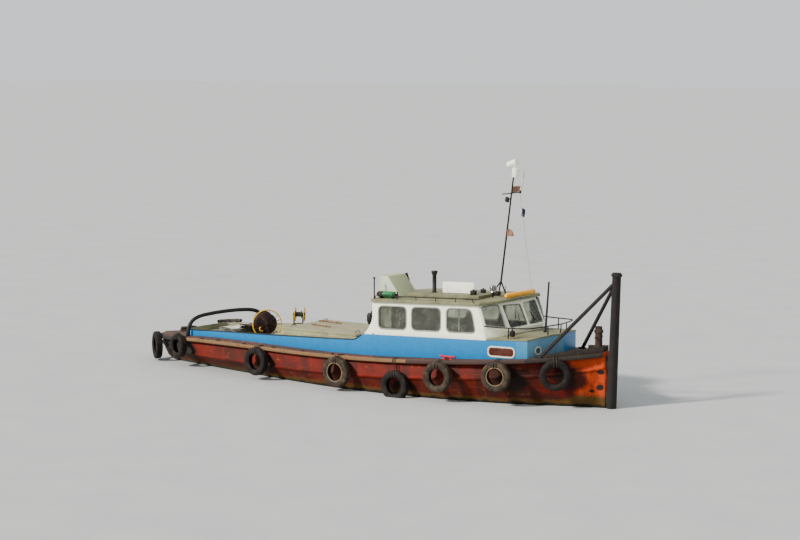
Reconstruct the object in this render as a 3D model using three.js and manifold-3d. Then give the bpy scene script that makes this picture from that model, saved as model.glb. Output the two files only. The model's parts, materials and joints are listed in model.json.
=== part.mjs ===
// Harbour work launch: a decked steel mooring launch with a wheelhouse, a bow post and tyre fenders.
// Millimetres. +X forward, +Y port, +Z up, origin on the centreline at the waterline, amidships.
// She floats about two degrees by the stern, so her long lines rise forward by the slopes named below.
import * as THREE from 'three';
import { mergeVertices } from 'three/addons/utils/BufferGeometryUtils.js';
import Module from 'manifold-3d';

const wasm = await Module();
wasm.setup();

// Driving dimensions
const GAP = 0.3;              // between pieces that touch
const RUN = 0.6;              // between a pin and its hole
const STEM_X = 7130;          // fore end of the hull
const STERN_X = -7850;        // aft end of the hull
const DARK_STERN_X = -5800;   // where the dark stern plating meets the red topsides
const KEEL_Z = -1250;         // underside of the keel
const KEEL_HALF = 55;
const DECK_CAMBER = 45;
const WALL = 50;              // cabin and wheelhouse wall thickness
const SIDE_SLOPE = 0.036;     // rise forward of the wheelhouse's long lines
const COAMING_SLOPE = 0.049;  // rise forward of the well coaming's top
const COAMING_TOP = 1345;     // coaming top height at amidships
const BLUE_TOP = 1490;        // top of the blue paint below the wheelhouse, at amidships
const ROOF_UNDER = 2362;      // underside of the wheelhouse roof at its edge, at amidships
const ROOF_THICK = 75;
const CABIN_SOLE_Z = 600;
const TYRE_HALF_WIDTH = 105;

// Hull stations. Half-breadths and heights at the deck edge, the strake, the waterline and the
// bilge's control point, and the height of the hull's bottom on the centreline.
const STATION_COLUMNS = [
  'x', 'deckHalf', 'deckZ', 'strakeHalf', 'strakeZ', 'waterHalf', 'waterZ', 'bilgeHalf', 'bilgeZ', 'bottomZ',
];
const STATIONS = [
  [-7850, 160, 710, 130, 460, 95, 340, 55, 280, 250],
  [-7700, 380, 720, 310, 430, 200, 220, 120, 140, 100],
  [-7400, 660, 745, 540, 400, 320, 60, 190, -40, -60],
  [-7000, 900, 775, 750, 380, 400, 0, 250, -100, -140],
  [-6400, 1120, 815, 970, 365, 530, 0, 320, -210, -270],
  [-5500, 1350, 870, 1200, 350, 700, 0, 400, -360, -460],
  [-4500, 1500, 895, 1370, 345, 900, 0, 520, -500, -640],
  [-3000, 1670, 910, 1550, 345, 1200, 0, 780, -640, -830],
  [-1000, 1820, 920, 1710, 360, 1510, 0, 1080, -700, -930],
  [1000, 1850, 960, 1740, 415, 1600, 0, 1160, -680, -930],
  [3000, 1780, 1060, 1620, 530, 1410, 0, 1000, -650, -910],
  [4600, 1550, 1170, 1310, 650, 1040, 0, 660, -610, -860],
  [5600, 1260, 1250, 960, 750, 670, 0, 390, -540, -770],
  [6300, 820, 1320, 570, 850, 350, 0, 200, -440, -620],
  [6850, 380, 1380, 260, 930, 150, 0, 95, -310, -440],
  [7130, 100, 1420, 85, 1000, 70, 0, 60, -160, -220],
].map((row) => Object.fromEntries(row.map((value, k) => [STATION_COLUMNS[k], value])));

// The trunk's half-width along the boat, from the start of its rounded aft end to its fore corners
const TRUNK_SIDE = [
  { x: -5700, half: 945 },
  { x: -4300, half: 1100 },
  { x: -3000, half: 1255 },
  { x: -500, half: 1490 },
  { x: 2000, half: 1480 },
  { x: 4200, half: 1390 },
  { x: 5500, half: 1180 },
];
const TRUNK_AFT_X = -6370;     // aft end, rounded at its corners
const AFT_SQUARENESS = 0.62;   // 1 is a half ellipse in plan, and less is squarer
const TRUNK_FORE_X = 5850;     // fore vertex, on the centreline
const WELL_FORE_X = -2850;     // bulkhead between the open well and the engine casing
const HOUSE_AFT_X = 820;       // aft wall of the wheelhouse

// Materials
const PAINTS = {
  topsideRed: ['#9c3a22', 0.8, 0.1], bottomRed: ['#5c1f19', 0.85, 0.05], sternDark: ['#34302d', 0.85, 0.1],
  railBrown: ['#7d4a36', 0.85, 0.1], rustDark: ['#4a352d', 0.85, 0.2], blue: ['#2d84bd', 0.55, 0],
  white: ['#e4e5e0', 0.5, 0], beige: ['#c9bfa8', 0.75, 0], cream: ['#d8d0b8', 0.75, 0],
  black: ['#1e1d1c', 0.6, 0.2], rubber: ['#2b2826', 0.9, 0], yellow: ['#d8b52c', 0.5, 0.1],
  ochre: ['#c58a35', 0.7, 0], green: ['#3f8a63', 0.5, 0.1], greyEngine: ['#5d6a63', 0.6, 0.4],
  bronze: ['#9a7a45', 0.4, 0.9], wood: ['#7a5a3c', 0.7, 0], board: ['#e8e8e6', 0.5, 0],
};
const materials = Object.fromEntries(Object.entries(PAINTS).map(([name, [color, roughness, metalness]]) =>
  [name, new THREE.MeshStandardMaterial({ color, roughness, metalness })]));

// Solids: every shape is a closed mesh from a three.js geometry, joined and cut as a solid
function toSolid(geometry) {
  const bare = geometry.clone();
  bare.deleteAttribute('normal');
  bare.deleteAttribute('uv');
  const merged = mergeVertices(bare, 0.001);
  const vertProperties = Float32Array.from(merged.attributes.position.array);
  const triVerts = Uint32Array.from(merged.index.array);
  return new wasm.Manifold(new wasm.Mesh({ numProp: 3, vertProperties, triVerts }));
}
const join = (...solids) => solids.flat().reduce((sum, solid) => sum.add(solid));
const cut = (solid, ...tools) => tools.flat().reduce((rest, tool) => rest.subtract(tool), solid);

function box(x0, x1, y0, y1, z0, z1) {
  const geometry = new THREE.BoxGeometry(x1 - x0, y1 - y0, z1 - z0);
  return toSolid(geometry.translate((x0 + x1) / 2, (y0 + y1) / 2, (z0 + z1) / 2));
}

// A bar between two points, of a round or polygonal section that can taper
function rod(start, end, radius, sides = 12, endRadius = radius) {
  const from = new THREE.Vector3(...start);
  const along = new THREE.Vector3(...end).sub(from);
  const geometry = new THREE.CylinderGeometry(endRadius, radius, along.length(), sides);
  geometry.translate(0, along.length() / 2, 0);
  const turn = new THREE.Quaternion().setFromUnitVectors(new THREE.Vector3(0, 1, 0), along.normalize());
  geometry.applyQuaternion(turn);
  return toSolid(geometry.translate(...start));
}

// A round tube through points, bent smoothly
function pipe(points, radius, steps, sides = 8) {
  const stops = points.map((point) => new THREE.Vector3(...point));
  const curve = new THREE.CatmullRomCurve3(stops, false, 'centripetal');
  const section = new THREE.Shape();
  for (let k = 0; k < sides; k += 1) {
    const angle = (2 * Math.PI * k) / sides;
    const place = [radius * Math.cos(angle), radius * Math.sin(angle)];
    if (k === 0) section.moveTo(...place);
    else section.lineTo(...place);
  }
  return toSolid(new THREE.ExtrudeGeometry(section, { steps, extrudePath: curve, bevelEnabled: false }));
}

const outline = (points) => new THREE.Shape(points.map(([a, b]) => new THREE.Vector2(a, b)));
function flatPrism(shape, from, to) {
  const settings = { depth: to - from, bevelEnabled: false, curveSegments: 4 };
  return new THREE.ExtrudeGeometry(shape, settings).translate(0, 0, from);
}

// Prisms of an outline in plan and in side view (x, z)
const planPrism = (shape, z0, z1) => toSolid(flatPrism(shape, z0, z1));
const sidePrism = (shape, y0, y1) => toSolid(flatPrism(shape, -y1, -y0).rotateX(Math.PI / 2));

// A prism of an outline drawn on a tilted plane, through its thickness both ways
function panelPrism(shape, origin, right, up, half) {
  const normal = new THREE.Vector3().crossVectors(right, up);
  const axes = new THREE.Matrix4().makeBasis(right, up, normal).setPosition(origin);
  return toSolid(flatPrism(shape, -half, half).applyMatrix4(axes));
}

// A turned solid about a line: profile points are [radius, distance along the axis]
function turned(profile, centre, axis, segments = 16) {
  const geometry = new THREE.LatheGeometry(profile.map(([r, h]) => new THREE.Vector2(r, h)), segments);
  const direction = new THREE.Vector3(...axis).normalize();
  geometry.applyQuaternion(new THREE.Quaternion().setFromUnitVectors(new THREE.Vector3(0, 1, 0), direction));
  return toSolid(geometry.translate(...centre));
}

// An outline with each corner rounded
function rounded(points, radius) {
  const shape = new THREE.Shape();
  points.forEach(([x, y], k) => {
    const before = points[(k + points.length - 1) % points.length];
    const after = points[(k + 1) % points.length];
    const toward = ([px, py]) => {
      const length = Math.hypot(px - x, py - y);
      return [x + ((px - x) * radius) / length, y + ((py - y) * radius) / length];
    };
    const enter = toward(before);
    if (k === 0) shape.moveTo(...enter);
    else shape.lineTo(...enter);
    shape.quadraticCurveTo(x, y, ...toward(after));
  });
  return shape;
}

// A closed skin over rings of points, each ring flat, with both ends capped
function loft(rings, capAxes) {
  const count = rings[0].length;
  const indices = [];
  for (let i = 0; i + 1 < rings.length; i += 1) {
    for (let j = 0; j < count; j += 1) {
      const a = i * count + j;
      const b = i * count + ((j + 1) % count);
      indices.push(a, b, b + count, a, b + count, a + count);
    }
  }
  const last = (rings.length - 1) * count;
  const cap = (ring) => THREE.ShapeUtils
    .triangulateShape(ring.map((point) => new THREE.Vector2(...capAxes(point))), [])
    .map((face) => face.sort((a, b) => a - b));
  cap(rings[0]).forEach(([a, b, c]) => indices.push(a, c, b));
  cap(rings.at(-1)).forEach(([a, b, c]) => indices.push(last + a, last + b, last + c));
  const geometry = new THREE.BufferGeometry();
  geometry.setAttribute('position', new THREE.Float32BufferAttribute(rings.flat(2), 3));
  geometry.setIndex(indices);
  return geometry;
}

// Turns a skin right side out if its volume is negative
function outward(geometry) {
  const p = geometry.attributes.position;
  const index = geometry.index.array;
  const v = [0, 1, 2].map(() => new THREE.Vector3());
  let volume = 0;
  for (let t = 0; t < index.length; t += 3) {
    v.forEach((corner, k) => corner.fromBufferAttribute(p, index[t + k]));
    volume += v[0].dot(v[1].clone().cross(v[2]));
  }
  if (volume < 0) {
    for (let t = 0; t < index.length; t += 3) [index[t + 1], index[t + 2]] = [index[t + 2], index[t + 1]];
  }
  return geometry;
}

const root = new THREE.Group();
function piece(name, solid, paint) {
  const { vertProperties, triVerts } = solid.getMesh();
  const geometry = new THREE.BufferGeometry();
  geometry.setAttribute('position', new THREE.BufferAttribute(Float32Array.from(vertProperties), 3));
  geometry.setIndex(new THREE.BufferAttribute(Uint32Array.from(triVerts), 1));
  geometry.computeVertexNormals();
  const mesh = new THREE.Mesh(geometry, materials[paint]);
  mesh.name = name;
  root.add(mesh);
}

// Hull form: a smooth curve through the stations for each column
function along(table, column, x) {
  let k = 1;
  while (k < table.length - 1 && table[k].x < x) k += 1;
  const slope = (n) => {
    const before = table[Math.max(n - 1, 0)];
    const after = table[Math.min(n + 1, table.length - 1)];
    return (after[column] - before[column]) / (after.x - before.x);
  };
  const span = table[k].x - table[k - 1].x;
  const t = Math.min(Math.max((x - table[k - 1].x) / span, 0), 1);
  const [a, b] = [table[k - 1][column], table[k][column]];
  const [ma, mb] = [slope(k - 1) * span, slope(k) * span];
  const values = a * (2 * t ** 3 - 3 * t ** 2 + 1) + b * (3 * t ** 2 - 2 * t ** 3);
  return values + ma * (t ** 3 - 2 * t ** 2 + t) + mb * (t ** 3 - t ** 2);
}
const hull = (column, x) => along(STATIONS, column, x);
const deckEdge = (x) => hull('deckHalf', x);
const deckZ = (x) => hull('deckZ', x);
const trunkHalf = (x) => along(TRUNK_SIDE, 'half', x);

// Cross-sections are cut closer together at both ends, where the hull curves most. All that meets
// along the hull is cut at the same ones.
function stationsBetween(from, to, count) {
  const share = (k) => (1 - Math.cos((Math.PI * k) / count)) / 2;
  return Array.from({ length: count + 1 }, (_, k) => from + (to - from) * share(k));
}
const STERN_STOPS = stationsBetween(STERN_X, DARK_STERN_X, 8);
const TOPSIDE_STOPS = stationsBetween(DARK_STERN_X, STEM_X, 26);
const HULL_STOPS = [...STERN_STOPS, ...TOPSIDE_STOPS.slice(1)];
const mirrored = (half) => [...half.map(([y, z]) => [-y, z]), ...half.filter(([y]) => y > 0).reverse()];

const STRAKE_OUT = 38;
const STRAKE_DEEP = 75;
function topsideRing(x) {
  const side = hull('strakeHalf', x);
  const low = hull('strakeZ', x);
  const lip = Math.min(STRAKE_OUT, side * 0.25);
  const strakeTop = low + STRAKE_DEEP;
  const edge = [[side, low], [side + lip, low + 12], [side + lip, strakeTop], [side + 8, strakeTop + 25]];
  return mirrored([...edge, [deckEdge(x), deckZ(x)], ...deckCrown(x)]).map(([y, z]) => [x, y, z]);
}
const deckCrown = (x) => [[deckEdge(x) * 0.5, deckZ(x) + DECK_CAMBER * 0.75], [0, deckZ(x) + DECK_CAMBER]];
// Everything below the deck's surface raised by so much, and a little past its edge
const belowDeck = (up) => hullLoft((x) => mirrored([
  [deckEdge(x) + 80, -2000], [deckEdge(x) + 80, deckZ(x)], [deckEdge(x), deckZ(x)], ...deckCrown(x),
]).map(([y, z]) => [x, y, z + up]), HULL_STOPS);
function bottomRing(x) {
  const water = [hull('waterHalf', x), hull('waterZ', x)];
  const bilge = [hull('bilgeHalf', x), hull('bilgeZ', x)];
  const floor = hull('bottomZ', x);
  const curve = [0.2, 0.4, 0.6, 0.8].map((t) => [
    (1 - t) ** 2 * water[0] + 2 * t * (1 - t) * bilge[0] * 1.35,
    (1 - t) ** 2 * water[1] + 2 * t * (1 - t) * bilge[1] + t ** 2 * floor,
  ]);
  return mirrored([[hull('strakeHalf', x), hull('strakeZ', x) - GAP], water, ...curve, [0, floor]])
    .map(([y, z]) => [x, y, z]);
}
const acrossCap = ([, y, z]) => [y, z];
const hullLoft = (ring, stops) => toSolid(outward(loft(stops.map((x) => ring(x)), acrossCap)));
const deckTool = belowDeck(GAP);

// Spaces inside the hull, under the wheelhouse and the engine casing
const CABIN = { x0: 950, x1: 4150, half: 1150 };
const ENGINE_ROOM = { x0: -2450, x1: -550, half: 520, z: -420 };
const spaceIn = ({ x0, x1, half }, z) => box(x0, x1, -half, half, z, 2000);
const cabinSpace = spaceIn(CABIN, CABIN_SOLE_Z);
const engineSpace = spaceIn(ENGINE_ROOM, ENGINE_ROOM.z);

const topsides = hullLoft(topsideRing, [DARK_STERN_X + GAP, ...TOPSIDE_STOPS.slice(1)]);
piece('hull_topsides', cut(topsides, cabinSpace, engineSpace), 'topsideRed');
piece('hull_stern', hullLoft(topsideRing, STERN_STOPS), 'sternDark');

// Bottom with keel, skeg, stern tube and the shoe that carries the rudder's heel
const POST_X = -6300;
const RUDDER_X = -7010;
const SHAFT_Z = -700;
const SHOE_Z = -1170;
const keelOutline = outline([
  [POST_X, -150], [POST_X, SHOE_Z], [RUDDER_X - 130, SHOE_Z], [RUDDER_X - 130, KEEL_Z],
  [5300, KEEL_Z], [6350, -960], [6900, -640], [7125, -300], [7125, -80], [-3000, -80],
]);
const RUDDER_STOCK = 34;
const stockHole = rod([RUDDER_X, 0, -400], [RUDDER_X, 0, 120], RUDDER_STOCK + 6, 16);
const sternTube = rod([POST_X - 60, 0, SHAFT_Z], [POST_X + 900, 0, SHAFT_Z], 85, 16);
piece('hull_bottom', cut(join(
  hullLoft(bottomRing, HULL_STOPS),
  sidePrism(keelOutline, -KEEL_HALF, KEEL_HALF),
  sternTube,
), cabinSpace, engineSpace, stockHole), 'bottomRed');

// Bands that follow the deck's edge, given as [out, up] section points
function edgePath(xs) {
  const place = (x, side) => new THREE.Vector2(x, side * deckEdge(x));
  const stops = [...xs.map((x) => [x, -1]), ...xs.slice().reverse().map((x) => [x, 1])];
  const spots = stops.map(([x, side]) => place(x, side));
  return stops.map(([x], k) => {
    const ahead = spots[Math.min(k + 1, spots.length - 1)].clone().sub(spots[Math.max(k - 1, 0)]).normalize();
    return { x, spot: spots[k], out: new THREE.Vector2(-ahead.y, ahead.x) };
  });
}
function band(path, sectionAt) {
  const rings = path.map(({ x, spot, out }) =>
    sectionAt(x).map(([o, up]) => [spot.x + out.x * o, spot.y + out.y * o, deckZ(x) + up]));
  return toSolid(outward(loft(rings, ([a, b, c]) => [Math.hypot(a, b), c])));
}

const RAIL_OUT = 62;
const RAIL_IN = GAP + 0.5;
const railStops = HULL_STOPS.slice(0, -1).reverse();
const railSection = () => [
  [RAIL_IN, -92], [RAIL_OUT - 20, -98], [RAIL_OUT, -75], [RAIL_OUT, -20], [RAIL_OUT - 22, 8], [RAIL_IN, 8],
];
const LUG_X = [-5190, -4540, -3450, -2330, -1255, -195, 3430];
const lugShape = new THREE.Shape();
lugShape.absarc(0, 0, 64, 0, Math.PI);
const lugs = [-1, 1].flatMap((side) => LUG_X.map((x) => {
  const y = side * (deckEdge(x) + 22);
  return toSolid(flatPrism(lugShape, -14, 14).rotateX(Math.PI / 2).translate(x, y, deckZ(x) + 2));
}));
piece('rub_rail', join(band(edgePath(railStops), railSection), lugs), 'railBrown');

// Low dark bulwark around the bow
const BULWARK_AFT_X = 5980;
const bulwarkHeight = (x) => 105 + (70 * (x - BULWARK_AFT_X)) / (STEM_X - BULWARK_AFT_X);
const bulwarkSides = [1, -1].map((side) => {
  const rings = stationsBetween(BULWARK_AFT_X, STEM_X - 20, 8).map((x) => {
    const edge = deckEdge(x) - 6;
    const section = [[edge, -30], [edge, bulwarkHeight(x)], [edge - 34, bulwarkHeight(x)], [edge - 34, -30]];
    return section.map(([y, up]) => [x, side * y, deckZ(x) + up]);
  });
  return toSolid(outward(loft(rings, acrossCap)));
});
const BREAST_X = 7000;
const breastPlate = box(BREAST_X, STEM_X - 20, -400, 400, 1340, deckZ(BREAST_X) + bulwarkHeight(BREAST_X));
const breastEdge = toSolid(outward(loft(stationsBetween(BREAST_X - 60, STEM_X, 6).map((x) => {
  const edge = deckEdge(x) - 6;
  return [[-edge, 1200], [-edge, 1800], [edge, 1800], [edge, 1200]].map(([y, z]) => [x, y, z]);
}), acrossCap)));
piece('bow_bulwark', cut(join(...bulwarkSides, breastPlate.intersect(breastEdge)), deckTool), 'rustDark');

// Bow post with its collar, stem brackets and two raking braces
const POST_RADIUS = { foot: 132, head: 112 };
const postX = (z) => 7275 + 0.033 * z;
const POST_TOP = 3450;
const BRACE_FOOT = { x: 5770, y: 1050, long: 95, wide: 50 };
const BRACE_HEAD_Z = 3180;
const braces = [-1, 1].flatMap((side) => {
  const [x, y, z] = [BRACE_FOOT.x, side * BRACE_FOOT.y, deckZ(BRACE_FOOT.x)];
  return [
    rod([x, y, z], [postX(BRACE_HEAD_Z) - 40, side * 40, BRACE_HEAD_Z], 48, 12),
    box(x - BRACE_FOOT.long, x + BRACE_FOOT.long, y - BRACE_FOOT.wide, y + BRACE_FOOT.wide, z - 15, z + 45),
  ];
});
const onPost = (z) => [postX(z), 0, z];
piece('bow_post', cut(join(
  rod(onPost(-560), onPost(POST_TOP), POST_RADIUS.foot, 20, POST_RADIUS.head),
  rod(onPost(POST_TOP - 90), onPost(POST_TOP - 30), POST_RADIUS.head + 28, 20),
  box(STEM_X + GAP, postX(1200), -60, 60, 1080, 1330),
  box(STEM_X + GAP, postX(200), -60, 60, 120, 420),
  ...braces,
), deckTool), 'rustDark');

// Bitts: a turned body on a flange, with a cross pin near its head
const BOW_BITT = { x: 6885, height: 630, radius: 95, flange: 110, pin: 22 };
const STERN_BITT = { x: -7150, height: 125, radius: 95, flange: 125, pin: 15 };
function bitt({ x, height, radius, flange, pin }) {
  const deck = deckZ(x) + DECK_CAMBER;
  const top = deck + height;
  const profile = [
    [0, deck - 100], [flange, deck - 100], [flange, deck + 28], [radius, deck + 38], [radius, top - height * 0.28],
    [radius * 1.25, top - height * 0.24], [radius * 1.25, top - height * 0.15],
    [radius * 0.95, top - height * 0.12], [radius * 0.95, top], [0, top],
  ];
  const pinZ = top - height * 0.43;
  return join(
    turned(profile, [x, 0, 0], [0, 0, 1], 16),
    rod([x, -radius * 2, pinZ], [x, radius * 2, pinZ], pin, 10),
  );
}
piece('bow_bitt', cut(bitt(BOW_BITT), deckTool), 'rustDark');
piece('stern_bitt', cut(bitt(STERN_BITT), deckTool), 'sternDark');

// Trunk: one blue wall around the well, the engine casing, the wheelhouse foot and the fore cabin
const coamingTop = (x) => COAMING_TOP + COAMING_SLOPE * x;
const blueTop = (x) => BLUE_TOP + SIDE_SLOPE * x;
const roofUnder = (x) => ROOF_UNDER + SIDE_SLOPE * x;
const trunkSideStops = [-5700, -5000, -4300, -3600, -3000, -1800, -500, 800, 2000, 3200, 4200, 4900, 5500];
// A point of the rounded aft end, by its angle from right aft
function aftCurve(degrees, inset) {
  const aft = trunkSideStops[0];
  const angle = (degrees * Math.PI) / 180;
  const squared = (value) => value ** AFT_SQUARENESS;
  const half = trunkHalf(aft) - inset;
  return [aft - (aft - TRUNK_AFT_X - inset) * squared(Math.cos(angle)), half * squared(Math.sin(angle))];
}
function trunkPlan(inset) {
  const side = trunkSideStops.map((x) => [x - (x > 5000 ? inset * 0.8 : 0), trunkHalf(x) - inset]);
  const round = [10, 25, 40, 55, 72].map((degrees) => aftCurve(degrees, inset));
  const port = [...round, ...side];
  const stbd = port.map(([x, y]) => [x, -y]).reverse();
  return outline([[TRUNK_AFT_X + inset, 0], ...port, [TRUNK_FORE_X - inset, 0], ...stbd]);
}
const trunkBlock = (inset) => planPrism(trunkPlan(inset), 400, 2400);
const STEP_AFT_X = 180;
const STEP_FORE_X = 500;

// A crowned slab over the fore cabin, from so far above the blue wall's top and so thick
const FORE_TOP_AFT_X = 4380;
const FORE_PLATE = 34;
const CROWN = 70;
function crowned(underAt, thick, stops, halfAt) {
  const across = [-1, -0.6, -0.2, 0.2, 0.6, 1];
  const rings = stops.map((x) => {
    const under = across.map((s) => [x, s * halfAt(x), underAt(x) + CROWN * (1 - s * s)]);
    return [...under, ...under.map(([px, y, z]) => [px, y, z + thick]).reverse()];
  });
  return toSolid(outward(loft(rings, acrossCap)));
}
function overForeTop(up, thick, aft = FORE_TOP_AFT_X) {
  return crowned((x) => blueTop(x) + up, thick, stationsBetween(aft, 6100, 5), (x) => trunkHalf(x) + 60);
}
const trunkProfile = new THREE.Shape();
trunkProfile.moveTo(-7000, 300);
trunkProfile.lineTo(-7000, coamingTop(-7000));
trunkProfile.lineTo(STEP_AFT_X, coamingTop(STEP_AFT_X));
trunkProfile.quadraticCurveTo(370, coamingTop(370) + 10, STEP_FORE_X, blueTop(STEP_FORE_X));
trunkProfile.lineTo(FORE_TOP_AFT_X, blueTop(FORE_TOP_AFT_X));
trunkProfile.lineTo(FORE_TOP_AFT_X, 2200);
trunkProfile.lineTo(6500, 2200);
trunkProfile.lineTo(6500, 300);
const trunkWall = trunkBlock(0).subtract(trunkBlock(WALL)).intersect(sidePrism(trunkProfile, -2000, 2000));
piece('trunk', cut(trunkWall, deckTool, overForeTop(0, 700)), 'blue');

// Fore cabin top: a crowned plate on the trunk's walls, which the wheelhouse's raked front stands on
piece('fore_cabin_top', overForeTop(GAP, FORE_PLATE).intersect(trunkBlock(-12)), 'beige');

// Cream sole of the open well, laid on the deck inside the trunk
const inTrunk = trunkBlock(WALL + GAP);
const wellRegion = box(-6500, WELL_FORE_X - GAP, -1500, 1500, 600, 1500);
const SOLE_THICK = 26;
piece('well_sole', cut(belowDeck(SOLE_THICK).intersect(inTrunk).intersect(wellRegion), deckTool), 'cream');

// Engine casing: its top plate, the bulkhead to the well and the bulkhead below the wheelhouse
const CASING_PLATE = 30;
const BULKHEAD = 40;
const casingTop = (x) => coamingTop(x) - 12;
const casingEnd = HOUSE_AFT_X - GAP;
const casingProfile = outline([
  [WELL_FORE_X, 500], [WELL_FORE_X, casingTop(WELL_FORE_X)],
  [casingEnd, casingTop(casingEnd)], [casingEnd, 500],
  [casingEnd - BULKHEAD, 500], [casingEnd - BULKHEAD, casingTop(casingEnd) - CASING_PLATE],
  [WELL_FORE_X + BULKHEAD, casingTop(WELL_FORE_X) - CASING_PLATE], [WELL_FORE_X + BULKHEAD, 500],
]);
const HATCH = { x0: -2650, x1: -60, half: 1000, rise: 12 };
function hatchAt(grow, z0, z1) {
  return box(HATCH.x0 - grow, HATCH.x1 + grow, -HATCH.half - grow, HATCH.half + grow, z0, z1);
}
const hatchCoaming = hatchAt(0, 1150, casingTop(HATCH.x1) + HATCH.rise);
const hatchWell = hatchAt(-40, 900, 1800);
const casingShell = sidePrism(casingProfile, -1500, 1500).intersect(inTrunk);
const LID_Z = casingTop(HATCH.x1) + HATCH.rise + GAP;
const LID_THICK = 38;
const LID_LIP = 12;
const LID_PIN = { x: HATCH.x1 + 26, z: LID_Z + 16, radius: 10, half: HATCH.half + 62 };
function lidPin(radius, sides) {
  return rod([LID_PIN.x, -LID_PIN.half, LID_PIN.z], [LID_PIN.x, LID_PIN.half, LID_PIN.z], radius, sides);
}
const lidBrackets = [-1, 1].flatMap((side) => {
  const reach = (...outs) => outs.map((out) => side * (HATCH.half + out)).sort((a, b) => a - b);
  const [ears, foot] = [reach(28, 58), reach(-20, 58)];
  return [
    box(HATCH.x1 - 5, LID_PIN.x + 18, ...foot, 1250, LID_Z - 8),
    box(LID_PIN.x - 18, LID_PIN.x + 18, ...ears, LID_Z - 20, LID_PIN.z + 18),
  ];
});
// To port the casing goes on aft, over the fore corner of the well, and carries the cable reel
const PORT_CASING = { x0: -4060, x1: WELL_FORE_X + 20, y0: 450 };
const belowSole = belowDeck(SOLE_THICK + GAP);
const portTop = outline([
  [PORT_CASING.x0, 700], [PORT_CASING.x0, casingTop(PORT_CASING.x0)],
  [PORT_CASING.x1, casingTop(PORT_CASING.x1)], [PORT_CASING.x1, casingTop(PORT_CASING.x1) - CASING_PLATE],
  [PORT_CASING.x0 + BULKHEAD, casingTop(PORT_CASING.x0) - CASING_PLATE], [PORT_CASING.x0 + BULKHEAD, 700],
]);
const portSide = outline([
  [PORT_CASING.x0, 700], [PORT_CASING.x0, casingTop(PORT_CASING.x0)],
  [PORT_CASING.x1, casingTop(PORT_CASING.x1)], [PORT_CASING.x1, 700],
]);
const portCasing = cut(join(
  sidePrism(portTop, PORT_CASING.y0, 1500),
  sidePrism(portSide, PORT_CASING.y0, PORT_CASING.y0 + BULKHEAD),
).intersect(inTrunk), belowSole);
const casing = join(casingShell, portCasing, hatchCoaming, lidBrackets);
piece('engine_casing', cut(casing, hatchWell, deckTool, lidPin(LID_PIN.radius + RUN, 24)), 'cream');
const lidKnuckles = [-700, 700].map((y) =>
  box(HATCH.x1 - 4, LID_PIN.x + 4, y - 60, y + 60, LID_Z + 4, LID_PIN.z + 12));
const lid = hatchAt(LID_LIP, LID_Z, LID_Z + LID_THICK);
piece('engine_hatch', join(lid, lidKnuckles, lidPin(LID_PIN.radius, 16)), 'beige');
piece('engine', box(-2250, -750, -380, 380, ENGINE_ROOM.z + GAP, 640), 'greyEngine');

// Wheelhouse walls: straight lines in plan between named corners, raked at the front
const HOUSE = [
  { x: HOUSE_AFT_X, y: 1440, footX: HOUSE_AFT_X },
  { x: 4140, y: 1375, footX: 4380 },
  { x: 4490, y: 850, footX: 4840 },
  { x: 4575, y: 0, footX: 4905 },
];
// A plan mirrored from its port corners, the last one on the centreline, and moved in by an inset
function mirroredPlan(corners, inset) {
  const port = corners.slice(0, -1);
  const ring = [...port.map(([x, y]) => [x, -y]), corners.at(-1), ...port.reverse()];
  return ring.map(([x, y], k) => {
    const before = ring[(k + ring.length - 1) % ring.length];
    const after = ring[(k + 1) % ring.length];
    const normal = ([ax, ay], [bx, by]) => {
      const length = Math.hypot(bx - ax, by - ay);
      return [(by - ay) / length, (ax - bx) / length];
    };
    const [n1, n2] = [normal(before, [x, y]), normal([x, y], after)];
    const scale = inset / (1 + n1[0] * n2[0] + n1[1] * n2[1]);
    return [x - (n1[0] + n2[0]) * scale, y - (n1[1] + n2[1]) * scale];
  });
}
const FOOT_Z = 1700;
const HEAD_Z = 2460;
// Below the windows the front is an apron that stands upright on a foot line of its own. Its corners
// have the height where it meets the raked screen, and their place in plan at the foot.
const [AFT, SIDE, QUARTER, CENTRE] = HOUSE;
const between = (from, to, share) => ({
  x: from.x + (to.x - from.x) * share, y: from.y + (to.y - from.y) * share,
  footX: from.footX + (to.footX - from.footX) * share,
});
const APRON = [
  { ...AFT, meets: 1950, foot: [AFT.x, AFT.y] },
  { ...SIDE, meets: 1990, foot: [4370, 1375] },
  { ...between(SIDE, QUARTER, 0.1), meets: 1980, foot: [4580, 980] },
  { ...QUARTER, meets: 1890, foot: [4700, 720] },
  { ...CENTRE, meets: 1900, foot: [4750, 0] },
];
function houseBlock(inset, z0 = 1300, z1 = 2700) {
  const raked = ({ x, y, footX }, z) => [footX + ((x - footX) * (z - FOOT_Z)) / (HEAD_Z - FOOT_Z), y];
  const levels = [
    APRON.map((corner) => [...corner.foot, z0]), APRON.map((corner) => [...corner.foot, FOOT_Z]),
    APRON.map((corner) => [...raked(corner, corner.meets), corner.meets]),
    APRON.map((corner) => [...raked(corner, z1), z1]),
  ];
  const rings = levels.map((level) => {
    const heights = level.map(([, , z]) => z);
    const around = [...heights, ...heights.slice(0, -1).reverse()];
    return mirroredPlan(level.map(([x, y]) => [x, y]), inset).map(([x, y], k) => [x, y, around[k]]);
  });
  return toSolid(outward(loft(rings, ([x, y]) => [x, y])));
}
// The wheelhouse walls lie between the blue wall's top and the roof, both of which rise forward
function slopedSlab(z0, z1) {
  const shear = new THREE.Matrix4().set(1, 0, 0, 0, 0, 1, 0, 0, SIDE_SLOPE, 0, 1, 0, 0, 0, 0, 1);
  const slab = flatPrism(outline([[-1000, -2000], [7000, -2000], [7000, 2000], [-1000, 2000]]), z0, z1);
  return toSolid(slab.applyMatrix4(shear));
}

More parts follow.
